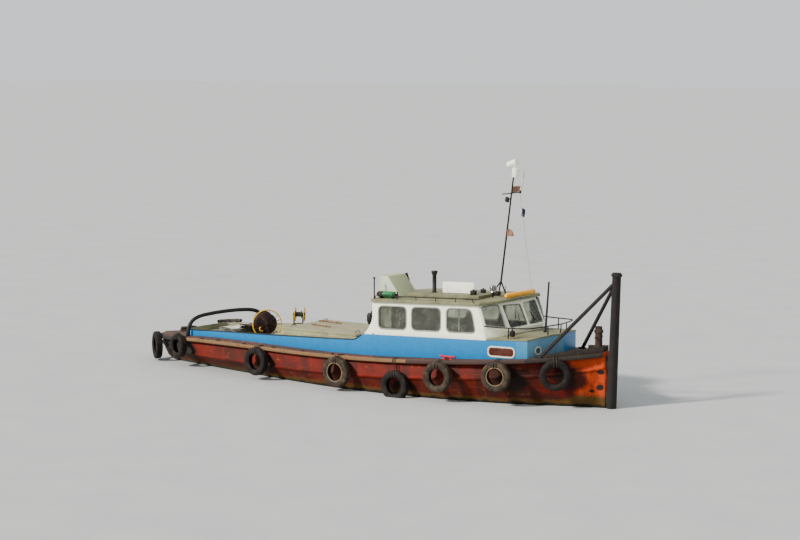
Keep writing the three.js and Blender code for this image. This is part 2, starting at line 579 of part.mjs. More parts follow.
// Window openings
const SILL = (x) => 1637 + 0.037 * x;
const HEAD = (x) => 2262 + 0.042 * x;
const SIDE_WINDOWS = [
  { aft: 1000, fore: 1920, foreFoot: 1920 },
  { aft: 2060, fore: 3000, foreFoot: 3000 },
  { aft: 3150, fore: 3930, foreFoot: 4085 },
];
const sideWindow = ({ aft, fore, foreFoot }) =>
  rounded([[aft, SILL(aft)], [foreFoot, SILL(foreFoot)], [fore, HEAD(fore)], [aft, HEAD(aft)]], 165);
const sideCuts = SIDE_WINDOWS.map((window) => sidePrism(sideWindow(window), -1700, 1700));

// Front panes lie in the raked planes between neighbouring corners
const FRONT_PANES = [
  { from: 1, to: 2, insets: [75, 60], sills: [2020, 1930], heads: [2485, 2512] },
  { from: 2, to: 3, insets: [60, 40], sills: [1930, 1940], heads: [2505, 2485] },
];
function frontPane({ from, to, insets, sills, heads }, side) {
  const corner = (k, z) => {
    const { x, footX, y } = HOUSE[k];
    return new THREE.Vector3(footX + ((x - footX) * (z - FOOT_Z)) / (HEAD_Z - FOOT_Z), side * y, z);
  };
  const origin = corner(from, FOOT_Z);
  const right = corner(to, FOOT_Z).sub(origin).normalize();
  const rise = corner(from, HEAD_Z).sub(origin);
  const up = rise.clone().sub(right.clone().multiplyScalar(rise.dot(right))).normalize();
  const flat = (k, z, inset) => {
    const spot = corner(k, z).sub(origin);
    return [spot.dot(right) + inset, spot.dot(up)];
  };
  const shape = rounded([
    flat(from, sills[0], insets[0]), flat(to, sills[1], -insets[1]),
    flat(to, heads[1], -insets[1]), flat(from, heads[0], insets[0]),
  ], 75);
  return panelPrism(shape, origin, right, up, 160);
}
const frontCuts = [-1, 1].flatMap((side) => FRONT_PANES.map((pane) => frontPane(pane, side)));

const DOOR = { half: 330, z0: 1440, z1: 2290, thick: 34 };
const doorCut = box(HOUSE_AFT_X - 200, HOUSE_AFT_X + 200, -DOOR.half, DOOR.half, DOOR.z0, DOOR.z1);
const houseWalls = houseBlock(0).subtract(houseBlock(WALL, 1200, 2800));
const roofLine = (x) => roofUnder(x) + ROOF_THICK;
const underRoofTop = (up) => crowned((x) => roofLine(x) - 1500 + up, 1500, [500, 5000], () => 1560);
const houseShell = houseWalls.intersect(slopedSlab(BLUE_TOP + GAP, 2900)).intersect(underRoofTop(-ROOF_THICK));
// Its aft wall goes on down between the trunk's sides to the deck
const houseFoot = box(HOUSE_AFT_X, HOUSE_AFT_X + WALL, -1500, 1500, 900, 1560).intersect(inTrunk);
const foreTopTool = overForeTop(-500, 500 + 2 * GAP + FORE_PLATE, FORE_TOP_AFT_X - GAP);
// Each side wall flares aft at its foot, down to the swept edge of the blue wall
const FLARE = [
  [835, 1450], [835, 1985], [820, 1985], [794, 1880], [755, 1795], [698, 1700], [638, 1620], [568, 1546], [500, 1450],
];
const flares = [[AFT.y - WALL, AFT.y], [-AFT.y, WALL - AFT.y]].map(([y0, y1]) =>
  sidePrism(outline(FLARE), y0, y1).intersect(slopedSlab(BLUE_TOP + GAP, 2900)));
const houseShape = join(houseShell, houseFoot, flares);
piece('wheelhouse', cut(houseShape, sideCuts, frontCuts, doorCut, foreTopTool, deckTool), 'white');

// Wheelhouse roof: crowned above and below, overhanging, following the walls' plan
const ROOF_OVER = 70;
const roofPlan = outline(mirroredPlan(HOUSE.map(({ x, y }) => [x + (x < 1000 ? 60 : 30), y]), -ROOF_OVER));
const roofSlab = underRoofTop(0).subtract(underRoofTop(GAP - ROOF_THICK));
piece('wheelhouse_roof', planPrism(roofPlan, 2200, 2900).intersect(roofSlab), 'beige');

// Door: a leaf in the aft wall, on two knuckles outside it
const DOOR_HINGE = { x: HOUSE_AFT_X - 10, y: DOOR.half, radius: 9.7 };
const DOOR_GAP = 6;
const doorHinges = [DOOR.z0 + 140, DOOR.z1 - 200].flatMap((z) => [
  rod([DOOR_HINGE.x, DOOR_HINGE.y, z], [DOOR_HINGE.x, DOOR_HINGE.y, z + 60], DOOR_HINGE.radius, 12),
  box(DOOR_HINGE.x - 4, HOUSE_AFT_X + DOOR_GAP + 2, DOOR.half - 40, DOOR_HINGE.y - 7, z, z + 60),
]);
piece('wheelhouse_door', join(
  box(
    HOUSE_AFT_X + DOOR_GAP, HOUSE_AFT_X + DOOR_GAP + DOOR.thick, -DOOR.half + DOOR_GAP, DOOR.half - DOOR_GAP,
    DOOR.z0 + DOOR_GAP, DOOR.z1 - DOOR_GAP,
  ),
  box(HOUSE_AFT_X - 22, HOUSE_AFT_X + 10, -DOOR.half + 60, -DOOR.half + 84, 1840, 1960),
  doorHinges,
), 'white');

// Inside the wheelhouse: sole, dash and bench
const DASH = { x0: 3640, x1: 4060, half: 1080, z: 1500 };
const BENCH = { x0: 1150, x1: 2250, y0: 620, y1: 1120, z: 1130 };
piece('cabin_fitout', join(
  box(CABIN.x0 + 6, CABIN.x1 - 6, 6 - CABIN.half, CABIN.half - 6, CABIN_SOLE_Z + GAP, CABIN_SOLE_Z + 30),
  box(DASH.x0, DASH.x1, -DASH.half, 340, CABIN_SOLE_Z + 20, DASH.z),
  box(BENCH.x0, BENCH.x1, BENCH.y0, BENCH.y1, CABIN_SOLE_Z + 20, BENCH.z),
), 'wood');
const HELM = { x: DASH.x0 - 90, y: -480, z: 1390, radius: 260 };
const helmSpokes = [0, 60, 120].map((degrees) => {
  const angle = (degrees * Math.PI) / 180;
  const reach = [0, HELM.radius * Math.cos(angle), HELM.radius * Math.sin(angle)];
  const end = (sign) => [HELM.x, HELM.y + sign * reach[1], HELM.z + sign * reach[2]];
  return rod(end(-1), end(1), 11, 6);
});
const ringProfile = (radius, tube, sides = 6) => Array.from({ length: sides + 1 }, (_, k) => {
  const angle = (2 * Math.PI * (k % sides)) / sides;
  return [radius + tube * Math.cos(angle), tube * Math.sin(angle)];
});
piece('helm_wheel', join(
  turned(ringProfile(HELM.radius, 18), [HELM.x, HELM.y, HELM.z], [1, 0, 0], 24),
  rod([HELM.x - 30, HELM.y, HELM.z], [DASH.x0 - GAP, HELM.y, HELM.z], 38, 12), helmSpokes,
), 'black');

// Under the counter: a four-bladed propeller and the rudder on its stock
const PROP = { x: -6450, pitch: (38 * Math.PI) / 180 };
const bladeShape = new THREE.Shape();
bladeShape.moveTo(-35, 40);
bladeShape.quadraticCurveTo(-170, 220, -60, 350);
bladeShape.quadraticCurveTo(0, 400, 60, 350);
bladeShape.quadraticCurveTo(170, 220, 35, 40);
const blades = [0, 1, 2, 3].map((k) => {
  const angle = (k * Math.PI) / 2 + Math.PI / 4;
  const up = new THREE.Vector3(0, Math.sin(angle), Math.cos(angle));
  const across = new THREE.Vector3(0, Math.cos(angle), -Math.sin(angle));
  const right = across.multiplyScalar(Math.cos(PROP.pitch));
  right.x = Math.sin(PROP.pitch);
  return panelPrism(bladeShape, new THREE.Vector3(PROP.x, 0, SHAFT_Z), right, up, 9);
});
const hubProfile = [[0, 0], [62, 0], [70, 60], [58, 170], [20, 215], [0, 215]];
const propHub = turned(hubProfile, [POST_X - 60 - GAP, 0, SHAFT_Z], [-1, 0, 0], 16);
piece('propeller', join(propHub, blades), 'bronze');

const RUDDER = { aft: -7360, fore: -6890, foot: -1130, head: -310, half: 20 };
const rudderOutline = rounded([
  [RUDDER.aft, RUDDER.foot + 60], [RUDDER.fore, RUDDER.foot], [RUDDER.fore, RUDDER.head],
  [RUDDER.aft + 70, RUDDER.head],
], 60);
piece('rudder', join(
  sidePrism(rudderOutline, -RUDDER.half, RUDDER.half),
  rod([RUDDER_X, 0, SHOE_Z + GAP], [RUDDER_X, 0, 100], RUDDER_STOCK, 16),
), 'rustDark');

// Towing hoop over the aft end of the well, its port foot a little further forward
const HOOP = { radius: 56, stbd: [-6100, -1010], port: [-5230, 1275] };
const HOOP_RISE = [
  [0, 780], [0, 980], [0.02, 1155], [0.066, 1300], [0.15, 1396], [0.316, 1456], [0.51, 1490],
  [0.7, 1495], [0.86, 1465], [0.945, 1390], [0.988, 1250], [1, 1040], [1, 780],
];
const hoopSpan = [0, 1].map((k) => HOOP.port[k] - HOOP.stbd[k]);
const hoopPoints = HOOP_RISE.map(([across, z]) =>
  [HOOP.stbd[0] + hoopSpan[0] * across, HOOP.stbd[1] + hoopSpan[1] * across, z]);
piece('tow_hoop', cut(pipe(hoopPoints, HOOP.radius, 32, 10), deckTool), 'black');

// What stands on the roof is cut to the roof's crown
const onRoof = (...solids) => cut(join(...solids), underRoofTop(GAP));
function slopedBox(x0, x1, y0, y1, up) {
  const foot = [[x0, roofLine(x0) - 40], [x1, roofLine(x1) - 40]];
  return sidePrism(outline([...foot, [x1, roofLine(x1) + up], [x0, roofLine(x0) + up]]), y0, y1);
}

const HOOD = { x0: 845, ridge: 1110, x1: 1540, y0: -1150, y1: -360, high: 590 };
const hoodOutline = outline([
  [HOOD.x0, 2380], [HOOD.x1, 2380], [HOOD.x1, roofLine(HOOD.x1) + 30],
  [HOOD.ridge, roofLine(HOOD.x0) + HOOD.high], [HOOD.x0, roofLine(HOOD.x0) + HOOD.high],
]);
piece('roof_hood', onRoof(sidePrism(hoodOutline, HOOD.y0, HOOD.y1)), 'beige');

const BOTTLE = { y: -1300, radius: 78, x: 880, length: 640 };
const bottleZ = (x) => roofLine(x) + 122;
const bottleProfile = [
  [0, 0], [50, 8], [BOTTLE.radius, 50], [BOTTLE.radius, 520], [55, 575], [26, 590], [26, BOTTLE.length],
  [0, BOTTLE.length],
];
const saddles = [BOTTLE.x + 150, BOTTLE.x + 510].map((x) =>
  box(x - 22, x + 22, BOTTLE.y - BOTTLE.radius - 6, BOTTLE.y + BOTTLE.radius + 6, 2380, bottleZ(x) + 30));
piece('gas_bottle', onRoof(
  turned(bottleProfile, [BOTTLE.x, BOTTLE.y, bottleZ(BOTTLE.x)], [1, 0, SIDE_SLOPE], 14),
  saddles,
), 'green');

const LOCKER = { x0: 1620, x1: 3900, y0: -1010, y1: -330, high: 140 };
piece('roof_locker', onRoof(slopedBox(LOCKER.x0, LOCKER.x1, LOCKER.y0, LOCKER.y1, LOCKER.high)), 'beige');
const lockerTop = (x) => roofLine(x) + LOCKER.high + GAP;
const onLocker = (x, y, up) => [x, y, lockerTop(x) + up];
const lockerTool = slopedBox(LOCKER.x0, LOCKER.x1, LOCKER.y0 - 50, LOCKER.y1 + 50, LOCKER.high + GAP);

const EXHAUST = { y: -290, foot: [1345, 2440], neck: [1165, 2860], top: [1072, 3062] };
const onExhaust = ([x, z]) => [x, EXHAUST.y, z];
piece('exhaust_pipe', onRoof(
  rod(onExhaust(EXHAUST.foot), onExhaust(EXHAUST.neck), 32, 12),
  rod(onExhaust(EXHAUST.neck), onExhaust(EXHAUST.top), 44, 12, 54),
  rod(onExhaust(EXHAUST.foot), [EXHAUST.foot[0] - 14, EXHAUST.y, 2520], 56, 12),
), 'black');
const ventProfile = [[0, -30], [85, -30], [85, 12], [55, 18], [55, 455], [85, 525], [85, 572], [0, 572]];
piece('vent_pipe', cut(turned(ventProfile, onLocker(2230, -600, 0), [0, 0, 1], 14), lockerTool), 'black');

const BOARD = { x0: 2520, x1: 3520, y: -640, thick: 26, low: 10, high: 297 };
const boardOutline = outline([
  [BOARD.x0, lockerTop(BOARD.x0) + BOARD.low], [BOARD.x1, lockerTop(BOARD.x1) + BOARD.low],
  [BOARD.x1, lockerTop(BOARD.x1) + BOARD.high], [BOARD.x0, lockerTop(BOARD.x0) + BOARD.high],
]);
const boardLegs = [BOARD.x0 + 130, BOARD.x1 - 130].map((x) =>
  box(x - 22, x + 22, BOARD.y - 6, BOARD.y + BOARD.thick + 22, lockerTop(x) - 40, lockerTop(x) + 240));
const boardPlate = sidePrism(boardOutline, BOARD.y, BOARD.y + BOARD.thick);
piece('name_board', cut(join(boardPlate, boardLegs), lockerTool), 'board');

const GRAB = { y: -1462, x0: 930, x1: 4050, up: 95, radius: 14, feet: [1640, 2250, 2870, 3500] };
const AFT_STAFF = { x: 897, top: 3010 };
const grabAt = (x, up = GRAB.up) => [x, GRAB.y, roofLine(x) + up];
const grabPoints = [
  grabAt(GRAB.x0 - 30, -30), grabAt(GRAB.x0 - 25, 40), grabAt(GRAB.x0 + 20),
  ...GRAB.feet.map((x) => grabAt(x)),
  grabAt(GRAB.x1 - 40), grabAt(GRAB.x1 + 10, 40), grabAt(GRAB.x1 + 20, -30),
];
piece('roof_grab_rail', onRoof(
  pipe(grabPoints, GRAB.radius, 24, 6),
  GRAB.feet.map((x) => rod(grabAt(x, -30), grabAt(x), 10, 6)),
  rod([AFT_STAFF.x, GRAB.y, 2380], [AFT_STAFF.x, GRAB.y, AFT_STAFF.top], 18, 8),
  turned([[0, 0], [32, 15], [32, 45], [0, 60]], [AFT_STAFF.x, GRAB.y, AFT_STAFF.top - 10], [0, 0, 1], 8),
), 'black');

const LIGHT = { x: 4020, y: -520, z: 2879, radius: 88 };
const lampProfile = [[0, -130], [50, -120], [80, -40], [LIGHT.radius, 40], [LIGHT.radius, 70], [0, 70]];
piece('searchlight', onRoof(
  turned(lampProfile, [LIGHT.x, LIGHT.y, LIGHT.z], [0.8, -0.6, 0], 16),
  rod([LIGHT.x, LIGHT.y, 2440], [LIGHT.x, LIGHT.y, LIGHT.z - 60], 20, 8),
  rod([LIGHT.x, LIGHT.y, 2440], [LIGHT.x, LIGHT.y, 2560], 55, 12),
), 'black');

// Mast: a raked pole on a tripod, with a yard, a lantern, a reflector and a small lamp
const MAST_APEX = [3930, 0, 3010];
const mastAt = (z, ahead = 0) => [MAST_APEX[0] + 0.134 * (z - MAST_APEX[2]) + ahead, 0, z];
const YARD_Z = 5320;
const LANTERN = { ahead: 45, z: 5860, half: 115, radius: 92 };
const REFLECTOR = { ahead: -75, z: 6088, half: 140, tilt: 0.35 };
const reflectorEnd = (end) => {
  const [x, , z] = mastAt(REFLECTOR.z, REFLECTOR.ahead);
  return [x + end * REFLECTOR.half * Math.cos(REFLECTOR.tilt), 0, z + end * REFLECTOR.half * Math.sin(REFLECTOR.tilt)];
};
piece('mast', onRoof(
  [[3620, -285], [3620, 285], [4190, 0]].map(([x, y]) => rod([x, y, 2440], MAST_APEX, 20, 8)),
  rod(mastAt(2960), mastAt(REFLECTOR.z), 27, 10, 20),
  rod([mastAt(YARD_Z)[0], -430, YARD_Z], [mastAt(YARD_Z)[0], 430, YARD_Z], 14, 8),
  rod(mastAt(LANTERN.z - LANTERN.half, LANTERN.ahead), mastAt(LANTERN.z + LANTERN.half, LANTERN.ahead), LANTERN.radius, 12),
  rod(reflectorEnd(-1), reflectorEnd(1), 90, 12),
  rod(mastAt(5160), mastAt(5175, -125), 12, 6),
  rod(mastAt(5100, -125), mastAt(5215, -125), 45, 8),
), 'black');

const FLOAT = { x: 4490, y0: -640, y1: 740, z: 2722, radius: 64, cone: 60 };
const floatAt = (y) => [FLOAT.x, y, FLOAT.z];
piece('roof_float', onRoof(
  rod(floatAt(FLOAT.y0 + FLOAT.cone), floatAt(FLOAT.y1 - FLOAT.cone), FLOAT.radius, 12),
  rod(floatAt(FLOAT.y0), floatAt(FLOAT.y0 + FLOAT.cone), 40, 12, FLOAT.radius),
  rod(floatAt(FLOAT.y1 - FLOAT.cone), floatAt(FLOAT.y1), FLOAT.radius, 12, 40),
  box(FLOAT.x - 50, FLOAT.x + 50, FLOAT.y0 + FLOAT.cone, FLOAT.y1 - FLOAT.cone, 2500, FLOAT.z - 20),
), 'ochre');

// Rail round the fore cabin top, its stanchions and the bow staff
const RAIL_Z = 1990;
const stbdRail = [
  [4262, -1352, 2012], [4520, -1300, RAIL_Z], [5420, -1105, RAIL_Z + 10], [5500, -1010, RAIL_Z + 12],
  [5770, -60, RAIL_Z + 40],
];
const foreRail = [...stbdRail, [5778, 0, RAIL_Z + 42], ...stbdRail.map(([x, y, z]) => [x, -y, z]).reverse()];
const RAIL_POSTS = [[4950, 1208, RAIL_Z + 8], [5655, 450, RAIL_Z + 26]];
const stanchions = RAIL_POSTS.flatMap(([x, y, z]) => [1, -1].map((side) =>
  rod([x, side * y, 1600], [x, side * y, z], 15, 8)));
const foreStanchion = rod([5740, 0, 1600], [5774, 0, RAIL_Z + 40], 15, 8);
const STAFF = { x: 5290, lean: 0.08, top: 3090 };
const foreTool = overForeTop(-500, 500 + 2 * GAP + FORE_PLATE);
const foreRailing = join(pipe(foreRail, 17, 34, 6), stanchions, foreStanchion);
piece('foredeck_rail', cut(foreRailing, foreTool, houseBlock(-GAP)), 'black');
piece('bow_staff', cut(join(
  rod([STAFF.x, 0, 1650], [STAFF.x + STAFF.lean * (STAFF.top - 1780), 0, STAFF.top], 32, 8, 24),
  rod([STAFF.x, 0, 1650], [STAFF.x, 0, 1850], 45, 10),
), foreTool), 'black');

// Lamp on the wheelhouse's aft wall
const AFT_LAMP = { x: HOUSE_AFT_X - GAP, y: -1280 };
const aftLampProfile = [[0, 0], [60, 0], [95, 90], [95, 240], [60, 300], [0, 300]];
piece('aft_lamp', join(
  box(AFT_LAMP.x - 140, AFT_LAMP.x, AFT_LAMP.y - 40, AFT_LAMP.y + 40, 1800, 2120),
  turned(aftLampProfile, [AFT_LAMP.x - 190, AFT_LAMP.y, 1760], [0, 0, 1], 12),
), 'black');

// Reels: each wheel has a rim on spokes, and turns with its drum on an axle through two posts.
// Distances run back from the hub along the axle.
const HOSE_REEL = {
  hub: [-3270, -870, 1405], axis: [0.75, -0.66, 0], rim: 402, tube: 18, spokes: 5, wheels: [0],
  drum: { from: 110, to: 690, radius: 205, flange: 300 },
  axle: { to: 790, radius: 20 },
  posts: { at: [70, 745], radius: 30 },
};
const CABLE_REEL = {
  hub: [-3440, 1000, 1472], axis: [0.85, 0.53, 0], rim: 190, tube: 14, spokes: 3, wheels: [0, 262],
  drum: { from: 75, to: 270, radius: 70, flange: 110 },
  axle: { to: 345, radius: 10 },
  posts: { at: [45, 303], radius: 20 },
};
const reelAxis = ({ axis }) => new THREE.Vector3(...axis).normalize();
function alongReel(reel, distance) {
  return new THREE.Vector3(...reel.hub).addScaledVector(reelAxis(reel), -distance);
}
function reelWheel(reel, distance) {
  const { x, y } = reelAxis(reel);
  const centre = alongReel(reel, distance);
  const spokes = Array.from({ length: reel.spokes }, (_, k) => {
    const angle = (2 * Math.PI * k) / reel.spokes + 0.3;
    const [level, up] = [Math.cos(angle) * reel.rim, Math.sin(angle) * reel.rim];
    return rod(centre.toArray(), [centre.x - y * level, centre.y + x * level, centre.z + up], 9, 6);
  });
  return join(turned(ringProfile(reel.rim, reel.tube), centre.toArray(), reel.axis, 24), spokes);
}
function reelBar(reel, from, to, radius, sides) {
  return rod(alongReel(reel, from).toArray(), alongReel(reel, to).toArray(), radius, sides);
}
function reelTurning(reel) {
  const { drum, axle } = reel;
  return join(
    reel.wheels.map((distance) => reelWheel(reel, distance)),
    reelBar(reel, -22, 14, axle.radius * 2.1, 12),
    reelBar(reel, -14, axle.to, axle.radius, 16),
    reelBar(reel, drum.from, drum.to, drum.radius, 16),
    reelBar(reel, drum.from, drum.from + 14, drum.flange, 18),
    reelBar(reel, drum.to - 14, drum.to, drum.flange, 18),
  );
}
const belowCasing = sidePrism(outline([
  [-4200, 600], [-2700, 600], [-2700, casingTop(-2700) + GAP], [-4200, casingTop(-4200) + GAP],
]), -1500, 1500);
function reelStand(reel, floor, beamZ) {
  const feet = reel.posts.at.map((distance) => alongReel(reel, distance));
  const posts = feet.map(({ x, y, z }) => rod([x, y, 880], [x, y, z + 55], reel.posts.radius, 8));
  const beam = rod([feet[0].x, feet[0].y, beamZ], [feet[1].x, feet[1].y, beamZ], reel.posts.radius * 0.7, 8);
  return cut(join(posts, beam), reelBar(reel, -100, 900, reel.axle.radius + RUN, 24), floor);
}
piece('hose_reel', reelTurning(HOSE_REEL), 'yellow');
piece('hose_reel_stand', reelStand(HOSE_REEL, belowSole, 985), 'rustDark');
piece('cable_reel', reelTurning(CABLE_REEL), 'yellow');
piece('cable_reel_stand', reelStand(CABLE_REEL, belowCasing, 1215), 'rustDark');

// Rolled canvas lying round the port aft corner of the coaming
const ROLL = { from: 24, to: 90, radius: 60 };
const rollPoints = Array.from({ length: 6 }, (_, k) => {
  const [x, y] = aftCurve(ROLL.from + ((ROLL.to - ROLL.from) * k) / 5, WALL / 2);
  return [x, y, coamingTop(x) + ROLL.radius - 10];
});
const underCoamingTop = sidePrism(outline([
  [-6600, 500], [-5000, 500], [-5000, coamingTop(-5000) + GAP], [-6600, coamingTop(-6600) + GAP],
]), -2000, 2000);
piece('canvas_roll', cut(pipe(rollPoints, ROLL.radius, 14, 10), underCoamingTop), 'rubber');

// Tyre fenders: hung flat against the rub rail, or against the strake where they hang lower. One that
// meets the rail near its edge settles in by so much.
const TYRES = [
  { name: 'stern', x: -7460, z: 450, radius: 400 },
  { name: 'quarter', x: -6120, z: 612, radius: 340 },
  { name: 'aft', x: -2850, z: 520, radius: 390, settle: 5.1 },
  { name: 'waist', x: 50, z: 515, radius: 415, settle: 6.9 },
  { name: 'low', x: 1850, z: 305, radius: 400, onStrake: true },
  { name: 'shoulder', x: 3240, z: 665, radius: 395, settle: 8 },
  { name: 'fore', x: 4850, z: 800, radius: 385, settle: 5.3 },
  { name: 'bow', x: 6190, z: 880, radius: 390, settle: 11.7 },
];
const railFace = edgePath(railStops).slice(0, railStops.length)
  .map(({ spot, out }) => spot.clone().addScaledVector(out, RAIL_OUT));
const strakeEdge = HULL_STOPS.map((x) => {
  const half = hull('strakeHalf', x);
  return new THREE.Vector2(x, -half - Math.min(STRAKE_OUT, half * 0.25));
}).reverse();
function tyreSeat({ x, onStrake }) {
  const line = onStrake ? strakeEdge : railFace;
  const k = line.findIndex((spot, n) => n > 0 && spot.x <= x);
  const [from, to] = [line[k - 1], line[k]];
  const ahead = to.clone().sub(from).normalize();
  const spot = from.clone().lerp(to, (x - from.x) / (to.x - from.x));
  return { spot, out: new THREE.Vector2(-ahead.y, ahead.x) };
}
// Tyre section as shares of the radius and of the half-width
const TYRE_SECTION = [
  [0.56, -0.55], [0.74, -1], [0.93, -0.86], [1, -0.45], [1, 0.45], [0.93, 0.86], [0.74, 1], [0.56, 0.55],
  [0.56, -0.55],
];
TYRES.forEach((tyre) => {
  const { spot, out } = tyreSeat(tyre);
  const centre = spot.clone().addScaledVector(out, TYRE_HALF_WIDTH + GAP - (tyre.settle ?? 0));
  const profile = TYRE_SECTION.map(([r, w]) => [r * tyre.radius, w * TYRE_HALF_WIDTH]);
  [{ name: 'starboard', side: 1 }, { name: 'port', side: -1 }].forEach(({ name, side }) => {
    const ring = turned(profile, [centre.x, side * centre.y, tyre.z], [out.x, side * out.y, 0], 18);
    piece(`tyre_${tyre.name}_${name}`, ring, 'rubber');
  });
});

export default root;
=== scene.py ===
# Harbour work launch: finishes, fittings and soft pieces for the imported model. Metres, +X forward, +Z up.
import functools
import json
import math
import random

import bmesh
import bpy
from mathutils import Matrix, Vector
from mathutils.bvhtree import BVHTree

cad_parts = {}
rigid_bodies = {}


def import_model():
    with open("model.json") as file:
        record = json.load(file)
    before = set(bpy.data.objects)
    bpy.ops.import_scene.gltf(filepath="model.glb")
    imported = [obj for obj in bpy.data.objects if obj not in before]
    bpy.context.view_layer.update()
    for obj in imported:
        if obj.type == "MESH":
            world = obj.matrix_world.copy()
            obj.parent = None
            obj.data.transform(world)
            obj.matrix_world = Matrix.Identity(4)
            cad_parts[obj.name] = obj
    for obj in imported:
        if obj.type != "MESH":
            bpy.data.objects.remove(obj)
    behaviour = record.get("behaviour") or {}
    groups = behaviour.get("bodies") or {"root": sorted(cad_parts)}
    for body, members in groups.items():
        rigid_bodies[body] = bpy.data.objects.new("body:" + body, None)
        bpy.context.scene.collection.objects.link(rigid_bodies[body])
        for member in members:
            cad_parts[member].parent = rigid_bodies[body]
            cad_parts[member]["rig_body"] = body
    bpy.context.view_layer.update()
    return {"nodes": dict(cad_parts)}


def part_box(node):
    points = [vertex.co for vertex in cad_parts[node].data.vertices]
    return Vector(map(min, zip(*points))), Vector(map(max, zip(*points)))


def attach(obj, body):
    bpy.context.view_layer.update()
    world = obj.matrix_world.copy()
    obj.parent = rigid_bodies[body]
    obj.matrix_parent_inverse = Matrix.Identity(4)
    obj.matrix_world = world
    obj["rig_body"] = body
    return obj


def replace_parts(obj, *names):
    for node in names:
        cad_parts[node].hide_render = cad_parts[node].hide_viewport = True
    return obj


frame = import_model()
nodes = frame["nodes"]
SIDES = {"starboard": -1, "port": 1}
UP = Vector((0, 0, 1))
COAMING_SLOPE = 0.049
OUTBOARD = 4.0


def box_of(node):
    return [Vector(corner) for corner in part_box(node)]


def added(name, data):
    made = bpy.data.objects.new(name, data)
    bpy.context.scene.collection.objects.link(made)
    return made


def point_along(made, direction):
    """Turns a camera or lamp to look in a direction."""
    made.rotation_mode = "QUATERNION"
    made.rotation_quaternion = Vector(direction).to_track_quat("-Z", "Y")


# Camera: nine metres up, 36 degrees forward of the beam, on the starboard side
CAMERA_SPOT = Vector((32.869, -44.265, 9.0))
CAMERA_HEADING = math.radians(36.03)
CAMERA_DIP = math.radians(6.155)
camera_data = bpy.data.cameras.new("camera")
camera_data.sensor_width = 36
camera_data.lens = 91.8
camera = added("camera", camera_data)
camera.location = CAMERA_SPOT
level = math.cos(CAMERA_DIP)
ahead_and_down = (-math.sin(CAMERA_HEADING) * level, math.cos(CAMERA_HEADING) * level, -math.sin(CAMERA_DIP))
point_along(camera, ahead_and_down)
bpy.context.scene.camera = camera


# Finishes
PAINT = {}


def srgb(red, green, blue):
    """A linear colour from the 0 to 255 values that an eye dropper gives."""
    channels = [c / 255 for c in (red, green, blue)]
    return [c / 12.92 if c <= 0.04045 else ((c + 0.055) / 1.055) ** 2.4 for c in channels] + [1.0]


def shade_of(colour, factor):
    return [min(c * factor, 1.0) for c in colour[:3]] + [1.0]


class Finish:
    """A material of PAINT, and short calls that add the nodes of its pattern."""

    def __init__(self, name, rough=0.5, **values):
        self.material = PAINT[name] = bpy.data.materials.new(name)
        self.material.use_nodes = True
        self.tree = self.material.node_tree
        self.shader = self.tree.nodes["Principled BSDF"]
        self.place = self.tree.nodes.new("ShaderNodeTexCoord").outputs["Object"]
        for key, value in dict(values, Roughness=rough).items():
            self.shader.inputs[key.replace("_", " ")].default_value = value

    def feed(self, socket, value):
        if isinstance(value, bpy.types.NodeSocket):
            self.tree.links.new(value, socket)
        else:
            socket.default_value = value

    def node(self, kind, **inputs):
        made = self.tree.nodes.new("ShaderNode" + kind)
        for key, value in inputs.items():
            self.feed(made.inputs[key.replace("_", " ")], value)
        return made

    def along(self, axis):
        return self.node("SeparateXYZ", Vector=self.place).outputs[axis]

    def stretched(self, scale, shift=(0, 0, 0)):
        return self.node("Mapping", Vector=self.place, Scale=scale, Location=shift).outputs["Vector"]

    def noise(self, scale, detail=4, rough=0.55, vector=None):
        made = self.node("TexNoise", Vector=vector or self.place, Scale=scale, Detail=detail, Roughness=rough)
        return made.outputs["Fac"]

    def ramp(self, amount, low, high, ends=(0, 1)):
        start, end = ends
        made = self.node("MapRange", Value=amount, From_Min=low, From_Max=high, To_Min=start, To_Max=end)
        made.interpolation_type = "SMOOTHSTEP"
        return made.outputs["Result"]

    def math(self, kind, first, second=0.0):
        made = self.tree.nodes.new("ShaderNodeMath")
        made.operation = kind
        self.feed(made.inputs[0], first)
        self.feed(made.inputs[1], second)
        return made.outputs["Value"]

    def mix(self, amount, under, over):
        made = self.tree.nodes.new("ShaderNodeMix")
        made.data_type = "RGBA"
        for index, value in ((0, amount), (6, under), (7, over)):
            self.feed(made.inputs[index], value)
        return made.outputs[2]

    def patches(self, under, over, low, high, scale, detail=4, rough=0.55, most=1, vector=None):
        """One colour over another in patches of noise, up to the most."""
        amount = self.ramp(self.noise(scale, detail, rough, vector), low, high, (0, most))
        return self.mix(amount, under, over)

    def edges(self, reach=0.012):
        """How near a point is to a sharp edge, from 0 to 1."""
        soft = self.node("Bevel", Radius=reach)
        soft.samples = 4
        alike = self.tree.nodes.new("ShaderNodeVectorMath")
        alike.operation = "DOT_PRODUCT"
        self.feed(alike.inputs[0], soft.outputs["Normal"])
        self.feed(alike.inputs[1], self.node("NewGeometry").outputs["Normal"])
        return self.ramp(alike.outputs["Value"], 0.995, 0.9)

    def smear(self, spot, reach):
        """A soft round patch in the side view, from 1 at its middle to 0 at its reach."""
        shift = (-spot[0] / reach[0], 0, -spot[1] / reach[1])
        ball = self.node("TexGradient", Vector=self.stretched((1 / reach[0], 0, 1 / reach[1]), shift))
        ball.gradient_type = "SPHERICAL"
        return ball.outputs["Fac"]

    def coat(self, colour, rough=None):
        self.feed(self.shader.inputs["Base Color"], colour)
        if rough is not None:
            self.feed(self.shader.inputs["Roughness"], rough)

    def bump(self, amount, depth):
        made = self.node("Bump", Height=amount, Distance=depth, Strength=1.0)
        last = self.shader.inputs["Normal"].links
        if last:
            self.tree.links.new(last[0].from_socket, made.inputs["Normal"])
        self.feed(self.shader.inputs["Normal"], made.outputs["Normal"])


